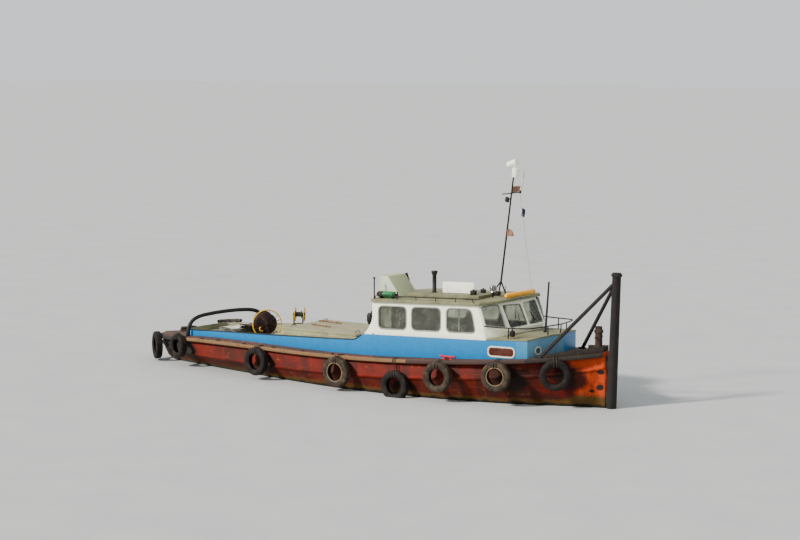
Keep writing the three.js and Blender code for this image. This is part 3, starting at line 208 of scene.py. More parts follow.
RUST_DARK = srgb(66, 38, 26)
RUST_BRIGHT = srgb(140, 68, 32)
GRIME = srgb(58, 50, 42)
RED = srgb(84, 15, 6)
RED_BRIGHT = srgb(110, 21, 7)
RED_LOW = srgb(90, 28, 16)
PLATE_DARK = srgb(54, 22, 16)
# Near-black of rubber rub marks and of painted tyre shadow on the hull
RUB_AND_SHADOW_DARK = srgb(22, 13, 10)
SCRAPED = srgb(150, 78, 48)
ORANGE = srgb(180, 61, 22)
WEED = srgb(82, 58, 25)
SLIME = srgb(30, 30, 22)
ANTIFOULING = srgb(92, 34, 24)
# Tyres with rub marks and painted shadow below and forward of them on the plating
RUB_AND_SHADOW_TYRES = ("stern", "quarter", "aft", "low", "fore", "bow")


def rust_colour(finish):
    return finish.patches(RUST_DARK, RUST_BRIGHT, 0.35, 0.7, 22, 6)


def painted_steel(name, colour, rust=0.3, grime=0.3, fade=0.25, rough=0.45, dents=0.004, run=0.25, wear=0.6):
    """Brushed-on paint over steel: faded, mottled, streaked down its face and rusted through in spots."""
    finish = Finish(name, rough, Specular_IOR_Level=0.25)
    tone = finish.patches(colour, shade_of(colour, 1.45), 0.3, 0.75, 0.7, 3, most=fade)
    tone = finish.patches(tone, shade_of(colour, 0.72), 0.35, 0.75, 11, 6, most=0.35)
    tone = finish.patches(tone, GRIME, 0.5, 0.78, 1.0, 5, 0.6, run, finish.stretched((7, 7, 0.7)))
    dirt = finish.math("MULTIPLY", finish.noise(2.3, 8, 0.65), finish.noise(17, 4))
    tone = finish.mix(finish.ramp(dirt, 0.26, 0.42, (0, grime)), tone, GRIME)
    spots = finish.math("ADD", finish.noise(3.1, 8, 0.72), finish.math("MULTIPLY", finish.noise(41, 3), 0.25))
    chips = finish.ramp(finish.noise(16, 6, 0.7), 0.42, 0.6, (0, wear))
    chipped = finish.math("MULTIPLY", finish.edges(), chips)
    bare = finish.math("MAXIMUM", finish.ramp(spots, 0.86 - 0.2 * rust, 0.9 - 0.2 * rust), chipped)
    finish.coat(finish.mix(bare, tone, rust_colour(finish)), finish.ramp(bare, 0, 1, (rough, 0.9)))
    finish.bump(bare, 0.002)
    finish.bump(finish.noise(1.8, 4), dents)
    finish.bump(finish.noise(120, 2), 0.0004)


def plain_rust(name, dark, bright):
    """Bare or once-painted steel that has rusted all over; in near-black it is also the painted shade in the
    stem holes.
    """
    finish = Finish(name, 0.88)
    tone = finish.patches(dark, bright, 0.35, 0.7, 2.6, 8, 0.7)
    flakes = finish.ramp(finish.noise(19, 8, 0.75), 0.42, 0.68)
    tone = finish.mix(flakes, tone, shade_of(dark, 0.55))
    down = finish.stretched((9, 9, 0.8))
    finish.coat(finish.patches(tone, shade_of(bright, 1.2), 0.45, 0.8, 1.0, 5, 0.6, 0.5, down))
    finish.bump(finish.noise(30, 8, 0.7), 0.004)
    finish.bump(flakes, 0.003)


def hull_plate(name, upper):
    """Red plating: scraped, dark brown in patches under the fore cabin, orange at the stem, weed at the
    water, and rub marks with painted tyre shadow below and forward of the tyres.
    """
    finish = Finish(name, 0.6, Specular_IOR_Level=0.12)
    ahead = finish.along("X")
    blotch = finish.noise(1.0, 4, 0.6, finish.stretched((1.2, 1.2, 1.6)))
    tone = finish.mix(finish.ramp(blotch, 0.36, 0.66), RED, RED_BRIGHT)
    if not upper:
        low_red = finish.mix(finish.ramp(blotch, 0.4, 0.62), RED_LOW, shade_of(RED_LOW, 0.6))
        tone = finish.mix(finish.ramp(ahead, 3.4, 4.4), low_red, tone)
    tone = finish.mix(finish.ramp(ahead, -2.6, -4.4, (0, 0.55)), tone, RED_LOW)
    under_cabin = finish.math("MULTIPLY", finish.ramp(ahead, 3.2, 4.6), finish.ramp(ahead, 6.7, 6.1))
    spread = finish.ramp(finish.noise(1.0, 5, 0.6, finish.stretched((1.1, 1.1, 2.2), (4, 0, 1))), 0.36, 0.56)
    tone = finish.mix(finish.math("MULTIPLY", under_cabin, spread), tone, PLATE_DARK)
    panel = finish.stretched((3.2, 0.3, 0.5), (1.7, 0, 0))
    tone = finish.patches(tone, PLATE_DARK, 0.47, 0.6, 1.0, 2, 0.4, 0.78, panel)
    stem = finish.ramp(finish.math("ADD", ahead, finish.noise(2.4, 5)), 6.92, 7.06)
    tone = finish.mix(stem, tone, finish.patches(ORANGE, RED, 0.45, 0.7, 3.4, 6, most=0.6))
    streak, scrape = finish.stretched((13, 13, 0.9)), finish.stretched((0.8, 4, 24))
    tone = finish.patches(tone, shade_of(RUST_DARK, 0.7), 0.5, 0.75, 1.0, 6, 0.65, 0.7, streak)
    tone = finish.patches(tone, SCRAPED, 0.63, 0.71, 1.0, 4, 0.6, 0.3, scrape)
    rusted = finish.ramp(finish.noise(5.2, 10, 0.75), 0.56, 0.64)
    tone = finish.mix(rusted, tone, rust_colour(finish))
    # Dark patches below and forward of six tyres: partly rubbed-on rubber, partly painted shadow that the
    # tyres cast on the plating.
    rub_and_shadow = finish.math("MULTIPLY", finish.noise(3.1, 6, 0.7), 0.7)
    for place in RUB_AND_SHADOW_TYRES:
        low, high = box_of(f"tyre_{place}_starboard")
        middle = (low + high) / 2
        patch = finish.smear((middle.x + 0.14, middle.z - 0.14), (0.72, 0.6))
        broken = finish.math("ADD", patch, finish.math("MULTIPLY", rub_and_shadow, 0.5))
        rub_and_shadow = finish.math("MAXIMUM", rub_and_shadow, broken)
    tone = finish.mix(finish.ramp(rub_and_shadow, 0.5, 0.78, (0, 0.88)), tone, RUB_AND_SHADOW_DARK)
    depth = finish.math("ADD", finish.along("Z"), finish.math("MULTIPLY", finish.noise(3.4, 6, 0.65), -0.22))
    weed = finish.math("SUBTRACT", depth, finish.math("MULTIPLY", finish.ramp(ahead, 5.9, 6.7), 0.17))
    tone = finish.mix(finish.ramp(weed, 0.1, -0.04), tone, WEED)
    wet = finish.ramp(depth, 0.0, -0.07)
    below = finish.mix(finish.ramp(depth, -0.12, -0.4), SLIME, ANTIFOULING)
    finish.coat(finish.mix(wet, tone, below), finish.ramp(wet, 0, 1, (0.62, 0.3)))
    plates = {"Vector": finish.stretched((0.55, 0.0, 1.0)), "Brick_Width": 1.1, "Row_Height": 0.46}
    seams = finish.node("TexBrick", Scale=1.0, Mortar_Size=0.006, **plates)
    finish.bump(seams.outputs["Fac"], 0.004)
    finish.bump(rusted, 0.003)
    finish.bump(finish.noise(1.0, 2, 0.5, finish.stretched((2.2, 0.4, 0.6))), 0.02)
    finish.bump(finish.noise(60, 4), 0.001)


def trodden_deck(name, colour, rust=0.5):
    """Deck paint walked thin, with a gritty surface."""
    finish = Finish(name, 0.8)
    tone = finish.patches(colour, shade_of(colour, 0.62), 0.35, 0.7, 1.3, 6, 0.65)
    tone = finish.patches(tone, GRIME, 0.5, 0.68, 7, 8, 0.7, 0.6)
    bare = finish.ramp(finish.noise(3.7, 9, 0.75), 0.68 - 0.16 * rust, 0.72 - 0.16 * rust)
    finish.coat(finish.mix(bare, tone, rust_colour(finish)))
    finish.bump(finish.noise(160, 3), 0.0012)
    finish.bump(bare, 0.001)
    finish.bump(finish.noise(2.2, 3), 0.006)


def worn_rubber(name, colour, dust):
    finish = Finish(name, 0.85, Specular_IOR_Level=0.2)
    tone = finish.patches(colour, dust, 0.4, 0.72, 6, 7, 0.7, 0.85)
    tone = finish.patches(tone, shade_of(dust, 1.25), 0.55, 0.7, 26, 8, 0.8, 0.5)
    finish.coat(tone, finish.ramp(finish.noise(9, 4), 0.3, 0.7, (0.65, 0.95)))
    finish.bump(finish.noise(70, 5), 0.0015)


def bare_metal(name, colour, rough=0.4, tarnish=0.4):
    finish = Finish(name, rough, Metallic=1.0)
    tone = finish.patches(colour, shade_of(colour, 0.35), 0.35, 0.7, 9, 7, 0.7, tarnish)
    finish.coat(tone, finish.ramp(finish.noise(14, 5), 0.3, 0.7, (rough * 0.8, min(rough * 1.7, 1))))
    finish.bump(finish.noise(90, 3), 0.0005)


def twisted_fibre(name, colour, soiled):
    """Rope yarn: fine diagonal yarns with soiled stretches."""
    finish = Finish(name, 0.9)
    yarn = finish.node("TexWave", Vector=finish.place, Scale=90, Distortion=3.5, Detail=2).outputs["Fac"]
    tone = finish.patches(colour, soiled, 0.35, 0.7, 3.5, 6)
    finish.coat(finish.mix(finish.ramp(yarn, 0.2, 0.8, (0, 0.35)), tone, shade_of(colour, 0.5)))
    finish.bump(yarn, 0.0012)


def woven_cloth(name, colour):
    finish = Finish(name, 0.9)
    warp, weft = (finish.node("TexWave", Vector=finish.place, Scale=160, Distortion=0.6) for _ in range(2))
    weft.bands_direction = "Z"
    weave = finish.math("MULTIPLY", warp.outputs["Fac"], weft.outputs["Fac"])
    tone = finish.patches(colour, shade_of(colour, 0.6), 0.35, 0.75, 4, 6)
    finish.coat(finish.mix(finish.ramp(weave, 0, 1, (0.25, 0)), tone, shade_of(colour, 0.45)))
    finish.bump(weave, 0.0006)


def pane_glass(name, tint, clear=0.6):
    """Salt-hazed window glass."""
    finish = Finish(name, 0.08, Transmission_Weight=clear, IOR=1.1)
    haze = finish.noise(3.0, 6, 0.7)
    tone = finish.mix(finish.ramp(haze, 0.35, 0.75), tint, shade_of(tint, 1.8))
    finish.coat(tone, finish.ramp(haze, 0.3, 0.8, (0.05, 0.35)))


def varnished_wood(name, light, dark):
    finish = Finish(name, 0.45)
    grain = finish.noise(1.0, 7, 0.6, finish.stretched((2.2, 26, 26)))
    tone = finish.mix(finish.ramp(grain, 0.35, 0.68), light, dark)
    finish.coat(tone, finish.ramp(grain, 0.3, 0.7, (0.35, 0.7)))
    finish.bump(grain, 0.001)


hull_plate("topside_red", True)
hull_plate("bottom_red", False)
painted_steel("stern_dark", srgb(28, 22, 19), rust=0.75, grime=0.5, run=0.5, rough=0.75)
# Dark brown painted shade for the rail's underside
painted_steel("rail_brown", srgb(68, 38, 30), rust=0.7, grime=0.5, rough=0.8, run=0.1)
painted_steel("rail_fore", srgb(60, 45, 41), rust=0.5, grime=0.4, rough=0.8, run=0.1)
painted_steel("rail_top", srgb(114, 86, 56), rust=0.75, grime=0.5, rough=0.85, run=0.0)
plain_rust("post_brown", srgb(15, 11, 9), srgb(30, 21, 16))
plain_rust("bitt_brown", srgb(38, 25, 17), srgb(64, 43, 28))
plain_rust("bulwark_dark", srgb(26, 20, 16), srgb(50, 38, 27))
# Near-black painted shade for the fairlead holes at the stem
plain_rust("hole_painted_shade", srgb(10, 8, 7), srgb(22, 15, 12))
painted_steel("trunk_blue", srgb(0, 112, 170), rust=0.05, grime=0.12, fade=0.12, run=0.12)
# Lighter, greyer blue: painted light standing in for sky light on the trunk's shaded starboard front faces
painted_steel("trunk_chalky", srgb(94, 140, 166), rust=0.05, grime=0.2, fade=0.2, rough=0.6, run=0.15)
painted_steel("trunk_pale", srgb(52, 126, 168), rust=0.05, grime=0.12, fade=0.3, run=0.15)
painted_steel("house_white", srgb(254, 254, 228), rust=0, grime=0.1, fade=0, rough=0.35, run=0.1, wear=0.35)
# Dark brown painted shade for the inside of the wheelhouse walls and roof
painted_steel("lining_brown", srgb(52, 48, 42), rust=0.0, grime=0.3, run=0.1, rough=0.7)
painted_steel("hood_beige", srgb(167, 170, 132), rust=0.06, grime=0.2, rough=0.7, run=0.1)
painted_steel("hood_mint", srgb(184, 195, 172), rust=0.05, grime=0.2, rough=0.6, run=0.1)
painted_steel("cap_dark", srgb(40, 44, 40), rust=0.5, grime=0.4, fade=0.1, rough=0.7, run=0.0)
painted_steel("fitting_black", srgb(24, 23, 22), fade=0.1, rough=0.55, dents=0.001)
painted_steel("reel_yellow", srgb(206, 160, 12), rust=0.2, grime=0.2, fade=0.1, rough=0.4, dents=0.001)
painted_steel("float_orange", srgb(250, 170, 40), rust=0.0, grime=0.35, fade=0.3, rough=0.6, dents=0.002)
painted_steel("bottle_green", srgb(18, 108, 62), rust=0.08, grime=0.2, rough=0.4, dents=0.001)
painted_steel("board_white", srgb(246, 247, 232), rust=0.0, grime=0.08, fade=0.0, rough=0.4, run=0.08)
painted_steel("skin_cream", srgb(206, 208, 184), rust=0.0, grime=0.2, rough=0.5, dents=0.001)
painted_steel("cleat_red", srgb(168, 24, 34), grime=0.2, dents=0.001)
painted_steel("engine_grey", srgb(72, 86, 78), rust=0.4, grime=0.6)
trodden_deck("roof_beige", srgb(124, 123, 90), rust=0.1)
trodden_deck("sole_grey", srgb(118, 117, 100), rust=0.3)
trodden_deck("casing_cream", srgb(148, 148, 112), rust=0.15)
trodden_deck("deck_brown", srgb(58, 34, 25), rust=0.8)
worn_rubber("tyre_rubber", srgb(40, 34, 28), srgb(86, 70, 52))
worn_rubber("wet_rubber", srgb(18, 16, 15), srgb(44, 36, 30))
# Pale tan: painted highlight on the tyre beads, and the tan of the lantern's ring
worn_rubber("tan_and_painted_highlight", srgb(112, 92, 68), srgb(142, 120, 94))
worn_rubber("seal_rubber", srgb(128, 130, 122), srgb(150, 152, 142))
worn_rubber("hose_dark", srgb(34, 20, 18), srgb(56, 38, 32))
woven_cloth("canvas_dark", srgb(62, 54, 46))
woven_cloth("canvas_brown", srgb(72, 60, 42))
woven_cloth("canvas_white", srgb(214, 212, 196))
woven_cloth("curtain_pale", srgb(196, 196, 180))
woven_cloth("seat_dark", srgb(44, 44, 42))
woven_cloth("flag_pink", srgb(160, 112, 92))
woven_cloth("flag_blue", srgb(24, 40, 92))
twisted_fibre("rope_dark", srgb(66, 56, 44), srgb(38, 32, 26))
twisted_fibre("rope_pale", srgb(190, 182, 158), srgb(128, 116, 94))
bare_metal("bronze", srgb(178, 138, 78))
bare_metal("steel_bright", srgb(190, 190, 186), 0.3)
bare_metal("zinc", srgb(150, 152, 152), 0.7)
pane_glass("glass_grey", srgb(184, 187, 175), 0.93)
pane_glass("lamp_glass", srgb(120, 124, 118), 0.3)
pane_glass("portlight_red", srgb(78, 44, 38), 0.25)
pane_glass("portlight_grey", srgb(70, 88, 96), 0.3)
varnished_wood("plank_cream", srgb(146, 140, 104), srgb(116, 106, 78))
varnished_wood("wood_brown", srgb(128, 92, 58), srgb(78, 52, 32))


# Making and placing pieces
def placed(name, mesh, finishes, body="hull"):
    made = added(name, mesh)
    for finish in finishes.split():
        mesh.materials.append(PAINT[finish])
    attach(made, body)
    return made


def smoothed(build, crease):
    """A mesh from a bmesh, smooth up to the crease angle."""
    mesh = bpy.data.meshes.new("mesh")
    build.to_mesh(mesh)
    build.free()
    mesh.shade_smooth()
    mesh.set_sharp_from_angle(angle=math.radians(crease))
    return mesh


def piece(name, build, crease, finish, body="hull"):
    """A piece from a bmesh, welded and with its faces turned outward."""
    bmesh.ops.remove_doubles(build, verts=build.verts, dist=1e-5)
    bmesh.ops.recalc_face_normals(build, faces=build.faces)
    return placed(name, smoothed(build, crease), finish, body)


def rounded_edges(build, edges, offset, clamp=False):
    kind = {"segments": 2, "affect": "EDGES", "profile": 0.6, "clamp_overlap": clamp}
    bmesh.ops.bevel(build, geom=edges, offset=offset, **kind)


def dressed(node, finishes, slot, crease, bevel=0, split=None, cuts=()):
    """A welded, smooth copy of a CAD node that stands for it.

    split gives a face's finish by its normal and middle, and cuts are the x where a finish may change.
    """
    source = nodes[node]
    build = bmesh.new()
    build.from_mesh(source.data)
    bmesh.ops.remove_doubles(build, verts=build.verts, dist=2e-5)
    if bevel:
        bmesh.ops.dissolve_limit(build, angle_limit=math.radians(1), verts=build.verts, edges=build.edges)
        sharp = math.radians(crease)
        hard = [e for e in build.edges if len(e.link_faces) == 2 and e.calc_face_angle(0) > sharp]
        rounded_edges(build, hard, bevel, True)
    for x in cuts:
        whole = build.verts[:] + build.edges[:] + build.faces[:]
        bmesh.ops.bisect_plane(build, geom=whole, plane_co=(x, 0, 0), plane_no=(1, 0, 0), dist=1e-5)
    if split:
        build.normal_update()
        for face in build.faces:
            face.material_index = int(split(face.normal, face.calc_center_median()))
    made = placed(node + "_dressed", smoothed(build, crease), finishes, source["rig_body"])
    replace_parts(made, node)


def builds(count):
    return [bmesh.new() for _ in range(count)]


def circle(steps):
    """Angles that share out a full turn."""
    return [2 * math.pi * k / steps for k in range(steps)]


def headings(line):
    """The direction of a line at each of its points."""
    last = len(line) - 1
    return [(line[min(k + 1, last)] - line[max(k - 1, 0)]).normalized() for k in range(last + 1)]


def skin(build, rings, closed=True, caps=True):
    """Faces between rings of points."""
    rows = [[build.verts.new(point) for point in ring] for ring in rings]
    count = len(rows[0])
    for low, high in zip(rows, rows[1:]):
        for k in range(count if closed else count - 1):
            after = (k + 1) % count
            build.faces.new((low[k], low[after], high[after], high[k]))
    if caps:
        build.faces.new(rows[0][::-1])
        build.faces.new(rows[-1])


def turned(build, profile, centre, axis, steps=32):
    """A turned form from (radius, distance along the axis), closed on the axis or on itself."""
    turn = Vector(axis).to_track_quat("Z", "Y").to_matrix()
    rings = []
    for radius, rise in profile:
        spin = [Vector((radius * math.cos(a), radius * math.sin(a), rise)) for a in circle(steps)]
        rings.append([Vector(centre) + turn @ spot for spot in spin])
    skin(build, rings, True, profile[0][0] > 0 and profile[0] != profile[-1])


def ring_bar(build, centre, axis, radius, thick, steps=28):
    """A round bar bent to a full ring."""
    profile = [(radius + thick * math.cos(a), thick * math.sin(a)) for a in circle(8)]
    turned(build, profile + profile[:1], centre, axis, steps)


def tube(build, path, radius, steps=10):
    """A round bar along points. radius is one value or one per point."""
    path = [Vector(point) for point in path]
    radii = radius if isinstance(radius, list) else [radius] * len(path)
    ahead = headings(path)
    side = ahead[0].orthogonal().normalized()
    rings = []
    for k, spot in enumerate(path):
        side = (side - ahead[k] * side.dot(ahead[k])).normalized()
        other = ahead[k].cross(side)
        rings.append([spot + (side * math.cos(a) + other * math.sin(a)) * radii[k] for a in circle(steps)])
    skin(build, rings)


def block(build, low, high, soften):
    """A box with softened edges."""
    low, high = Vector(low), Vector(high)
    middle, span = (low + high) / 2, high - low
    corners = bmesh.ops.create_cube(build, size=1.0)["verts"]
    for vert in corners:
        vert.co = [middle[k] + vert.co[k] * span[k] for k in range(3)]
    rounded_edges(build, list({edge for vert in corners for edge in vert.link_edges}), soften)


def smooth_path(points, steps=6):
    """Points along a smooth line through the given ones."""
    points = [Vector(p) for p in points]
    line = []
    for k in range(len(points) - 1):
        a, b = points[max(k - 1, 0)], points[k]
        c, d = points[k + 1], points[min(k + 2, len(points) - 1)]
        for t in [n / steps for n in range(steps)]:
            bend, twist = 2 * a - 5 * b + 4 * c - d, 3 * b - a - 3 * c + d
            line.append(0.5 * (2 * b + (c - a) * t + bend * t ** 2 + twist * t ** 3))
    return line + [points[-1]]


def oblong(left, right, foot, top):
    return [(left, foot), (right, foot), (right, top), (left, top)]


def oval(wide, tall, steps=32):
    return [Vector((wide * math.cos(a), tall * math.sin(a))) for a in circle(steps)]


def rounded_outline(corners, radius, steps=6):
    """Points round a polygon with each corner rounded."""
    points = []
    for k, corner in enumerate(corners):
        corner = Vector(corner)
        before = (Vector(corners[k - 1]) - corner).normalized()
        after = (Vector(corners[(k + 1) % len(corners)]) - corner).normalized()
        start, end = corner + before * radius, corner + after * radius
        for t in [n / steps for n in range(steps + 1)]:
            points.append(start * (1 - t) ** 2 + corner * 2 * t * (1 - t) + end * t ** 2)
    return points


def offset_outline(points, amount):
    """The outline grown by so much, for points that run anticlockwise."""
    grown = []
    for k, point in enumerate(points):
        along = (points[(k + 1) % len(points)] - points[k - 1]).normalized()
        grown.append(point + Vector((along.y, -along.x)) * amount)
    return grown


def framed(build, outline, to_space, inner, outer, back, front):
    """A frame round an outline, from inner to outer in its plane and from back to front through it."""
    middle, shoulder = (inner + outer) / 2, front * 0.6
    rings = [(inner, back), (outer, back), (outer, shoulder), (middle, front), (inner, shoulder)]
    loops = [[to_space(p, depth) for p in offset_outline(outline, grow)] for grow, depth in rings]
    skin(build, loops + [loops[0]], True, False)


def sheet_of(build, outline, to_space, back, front):
    """A flat pane that fills an outline."""
    skin(build, [[to_space(p, depth) for p in outline] for depth in (back, front)])


def glazed(rims, panes, outline, to_space, rim, grow, back, front):
    """A frame round an outline, and a pane in it."""
    framed(rims, outline, to_space, *rim)
    sheet_of(panes, offset_outline(outline, grow), to_space, back, front)


@functools.cache
def surface(node):
    mesh = nodes[node].data
    return BVHTree.FromPolygons([v.co for v in mesh.vertices], [p.vertices for p in mesh.polygons])


def drop(node, x, y, start=4.0):
    """The height of a node's top surface at a place in plan."""
    return surface(node).ray_cast(Vector((x, y, start)), Vector((0, 0, -1)))[0].z


def side_of(node, x, z, side):
    """Where a level line from outboard meets a node, and the surface's normal there."""
    return surface(node).ray_cast(Vector((x, side * OUTBOARD, z)), Vector((0, -side, 0)))[:2]


def on_wall(spot, normal):
    """Puts (right, up) on a wall at a spot, with the distance out from it."""
    out = normal.normalized()
    right = UP.cross(out).normalized()
    rise = out.cross(right)
    return lambda point, depth: spot + right * point[0] + rise * point[1] + out * depth


def grid_cloth(name, rows, finish):
    """A sheet of cloth through rows of points."""
    build = bmesh.new()
    skin(build, rows, False, False)
    made = piece(name, build, 70, finish)
    return made


def stud_tree():
    """Nodes that set a domed stud on each point, along the point's own normal."""
    tree = bpy.data.node_groups.new("studs", "GeometryNodeTree")
    inputs = {"Points": "Geometry", "Stud Radius": "Float", "Stud Height": "Float", "Finish": "Material"}
    for label, kind in inputs.items():
        tree.interface.new_socket(label, in_out="INPUT", socket_type="NodeSocket" + kind)
    tree.interface.new_socket("Studs", in_out="OUTPUT", socket_type="NodeSocketGeometry")
    kinds = ("NodeGroupInput", "NodeGroupOutput", "ShaderNodeMath", "FunctionNodeAlignRotationToVector")
    given, shown, crown, turn = (tree.nodes.new(kind) for kind in kinds)
    kinds = ("MeshCone", "InputNamedAttribute", "InstanceOnPoints", "RealizeInstances", "SetMaterial")
    stem, stated, spread, whole, painted = (tree.nodes.new("GeometryNode" + kind) for kind in kinds)
    stem.inputs["Vertices"].default_value = 10
    crown.operation = "MULTIPLY"
    crown.inputs[1].default_value = 0.62
    stated.data_type = "FLOAT_VECTOR"
    stated.inputs["Name"].default_value = "outward"
    turn.axis = "Z"
    for source, output, target, entry in (
        (given, "Points", spread, "Points"), (given, "Stud Radius", stem, "Radius Bottom"),
        (given, "Stud Radius", crown, 0), (crown, 0, stem, "Radius Top"),
        (given, "Stud Height", stem, "Depth"),
        (stem, "Mesh", spread, "Instance"), (stated, "Attribute", turn, "Vector"),
        (turn, "Rotation", spread, "Rotation"), (spread, "Instances", whole, "Geometry"),
        (whole, "Geometry", painted, "Geometry"), (given, "Finish", painted, "Material"),
        (painted, "Geometry", shown, "Studs"),
    ):
        tree.links.new(source.outputs[output], target.inputs[entry])
    return tree


STUDS = stud_tree()


def studs(name, spots, finish, radius, height, body="hull"):
    """Bolt and rivet heads: spots are (place, outward direction)."""
    points = bpy.data.meshes.new(name + "_points")
    points.from_pydata([tuple(spot) for spot, _ in spots], [], [])
    outward = points.attributes.new("outward", "FLOAT_VECTOR", "POINT")
    for k, (_, direction) in enumerate(spots):
        outward.data[k].vector = direction
    carrier = added(name + "_points", points)
    modifier = carrier.modifiers.new("studs", "NODES")
    modifier.node_group = STUDS
    values = {"Stud Radius": radius, "Stud Height": height, "Finish": PAINT[finish]}
    for socket in STUDS.interface.items_tree:
        if socket.in_out == "INPUT" and socket.name in values:
            modifier[socket.identifier] = values[socket.name]
    shaped = carrier.evaluated_get(bpy.context.evaluated_depsgraph_get())
    mesh = bpy.data.meshes.new_from_object(shaped)
    bpy.data.objects.remove(carrier)
    placed(name, mesh, "", body)


# Floor at the waterline, pale surroundings and soft light
floor_build = bmesh.new()
bmesh.ops.create_grid(floor_build, x_segments=2, y_segments=2, size=400)
floor_finish = Finish("floor_pale", 0.9)
floor_finish.coat(floor_finish.patches(srgb(172, 174, 174), srgb(178, 180, 179), 0.3, 0.7, 0.6, 3))
floor = added("floor", smoothed(floor_build, 30))
floor.data.materials.append(floor_finish.material)
world = bpy.data.worlds.new("soft_sky")
world.use_nodes = True
sky = world.node_tree.nodes["Background"].inputs
sky["Color"].default_value = (0.86, 0.90, 0.92, 1)
sky["Strength"].default_value = 1.05
bpy.context.scene.world = world
sun_data = bpy.data.lights.new("sun", "SUN")
sun_data.energy = 6.0
sun_data.angle = math.radians(7)
sun_data.color = (1.0, 0.95, 0.88)
point_along(added("sun", sun_data), (0.38, 0.79, -0.60))


# Which of a solid's finishes a face has, by its normal and its middle
LUG_X = (-5.19, -4.54, -3.45, -2.33, -1.255, -0.195, 3.43)
PALE_FROM = 5.2
BOTTLE_GREEN = (1.08, 1.47)
LANTERN_FROM = 5.735
RIM_WIDTH = 0.03
REELS = {
    "hose_reel": (Vector((-3.27, -0.87, 1.405)), Vector((0.75, -0.66, 0)).normalized(), 0.402),
    "cable_reel": (Vector((-3.44, 1.0, 1.472)), Vector((0.85, 0.53, 0)).normalized(), 0.19),
}


def deck_faces(normal, middle):
    return normal.z > 0.8


def rail_faces(normal, middle):
    """The rail: worn tan aft, dark forward, painted shade in dark brown on its underside, with rust-dark
    lugs, tail and bow.
    """
    if middle.x > 5.4 or middle.x < -5.8:
        return 2
    # Faces turned down get the dark brown of painted shade.
    if normal.z < -0.3:
        return 0
    lug = any(abs(middle.x - x) < 0.072 for x in LUG_X)
    inboard = math.copysign(abs(middle.y) - 0.12, middle.y)
    if lug and middle.z > drop("hull_topsides", middle.x, inboard) + 0.014:
        return 2
    return 1 if middle.x < 2.4 else 3


def trunk_faces(normal, middle):
    """Blue outside, cream in the well, a dark cap, a lighter greyer blue painted as light on the shaded
    starboard front faces, and pale paint to starboard forward.
    """
    # Starboard front faces: painted light, a lighter greyer blue where the sun does not reach.
    if middle.x > 5.0 and normal.x > 0.4 and normal.y < -0.12 and abs(normal.z) < 0.5:
        return 3
    if middle.x > PALE_FROM and normal.y < -0.7:
        return 4
    if middle.x > 0.52:
        return 0
    if normal.z > 0.35:
        return 2
    return normal.y * middle.y < -0.02 or (middle.x < -5.0 and normal.x > 0.3)


def wall_faces(normal, middle):
    """The wheelhouse's foot at the sole is painted as the casing is, and its inside gets a dark brown as
    painted shade.
    """
    if middle.z < 1.3:
        return 1
    side = abs(middle.y) > 0.85 and normal.y * middle.y < -0.3 * abs(middle.y) and middle.x < 4.3
    ends = (middle.x > 4.0 and normal.x < -0.5) or (middle.x < 1.1 and normal.x > 0.8)
    return 2 if side or ends else 0


def roof_faces(normal, middle):
    # The roof's underside inside the wheelhouse gets the dark brown painted shade.
    return normal.z < -0.7 and 1.0 < middle.x < 4.4 and abs(middle.y) < 1.3


def hood_faces(normal, middle):
    return abs(normal.y) > 0.7


def mast_faces(normal, middle):
    return middle.z > LANTERN_FROM


def bottle_faces(normal, middle):
    return not BOTTLE_GREEN[0] < middle.x < BOTTLE_GREEN[1]


def reel_faces(node):
    """A reel's drum and spokes are dark, and the rims keep their yellow."""
    hub, axis, radius = REELS[node]

    def choose(normal, middle):
        off = middle - hub
        return (off - axis * off.dot(axis)).length <= radius - RIM_WIDTH
    return choose


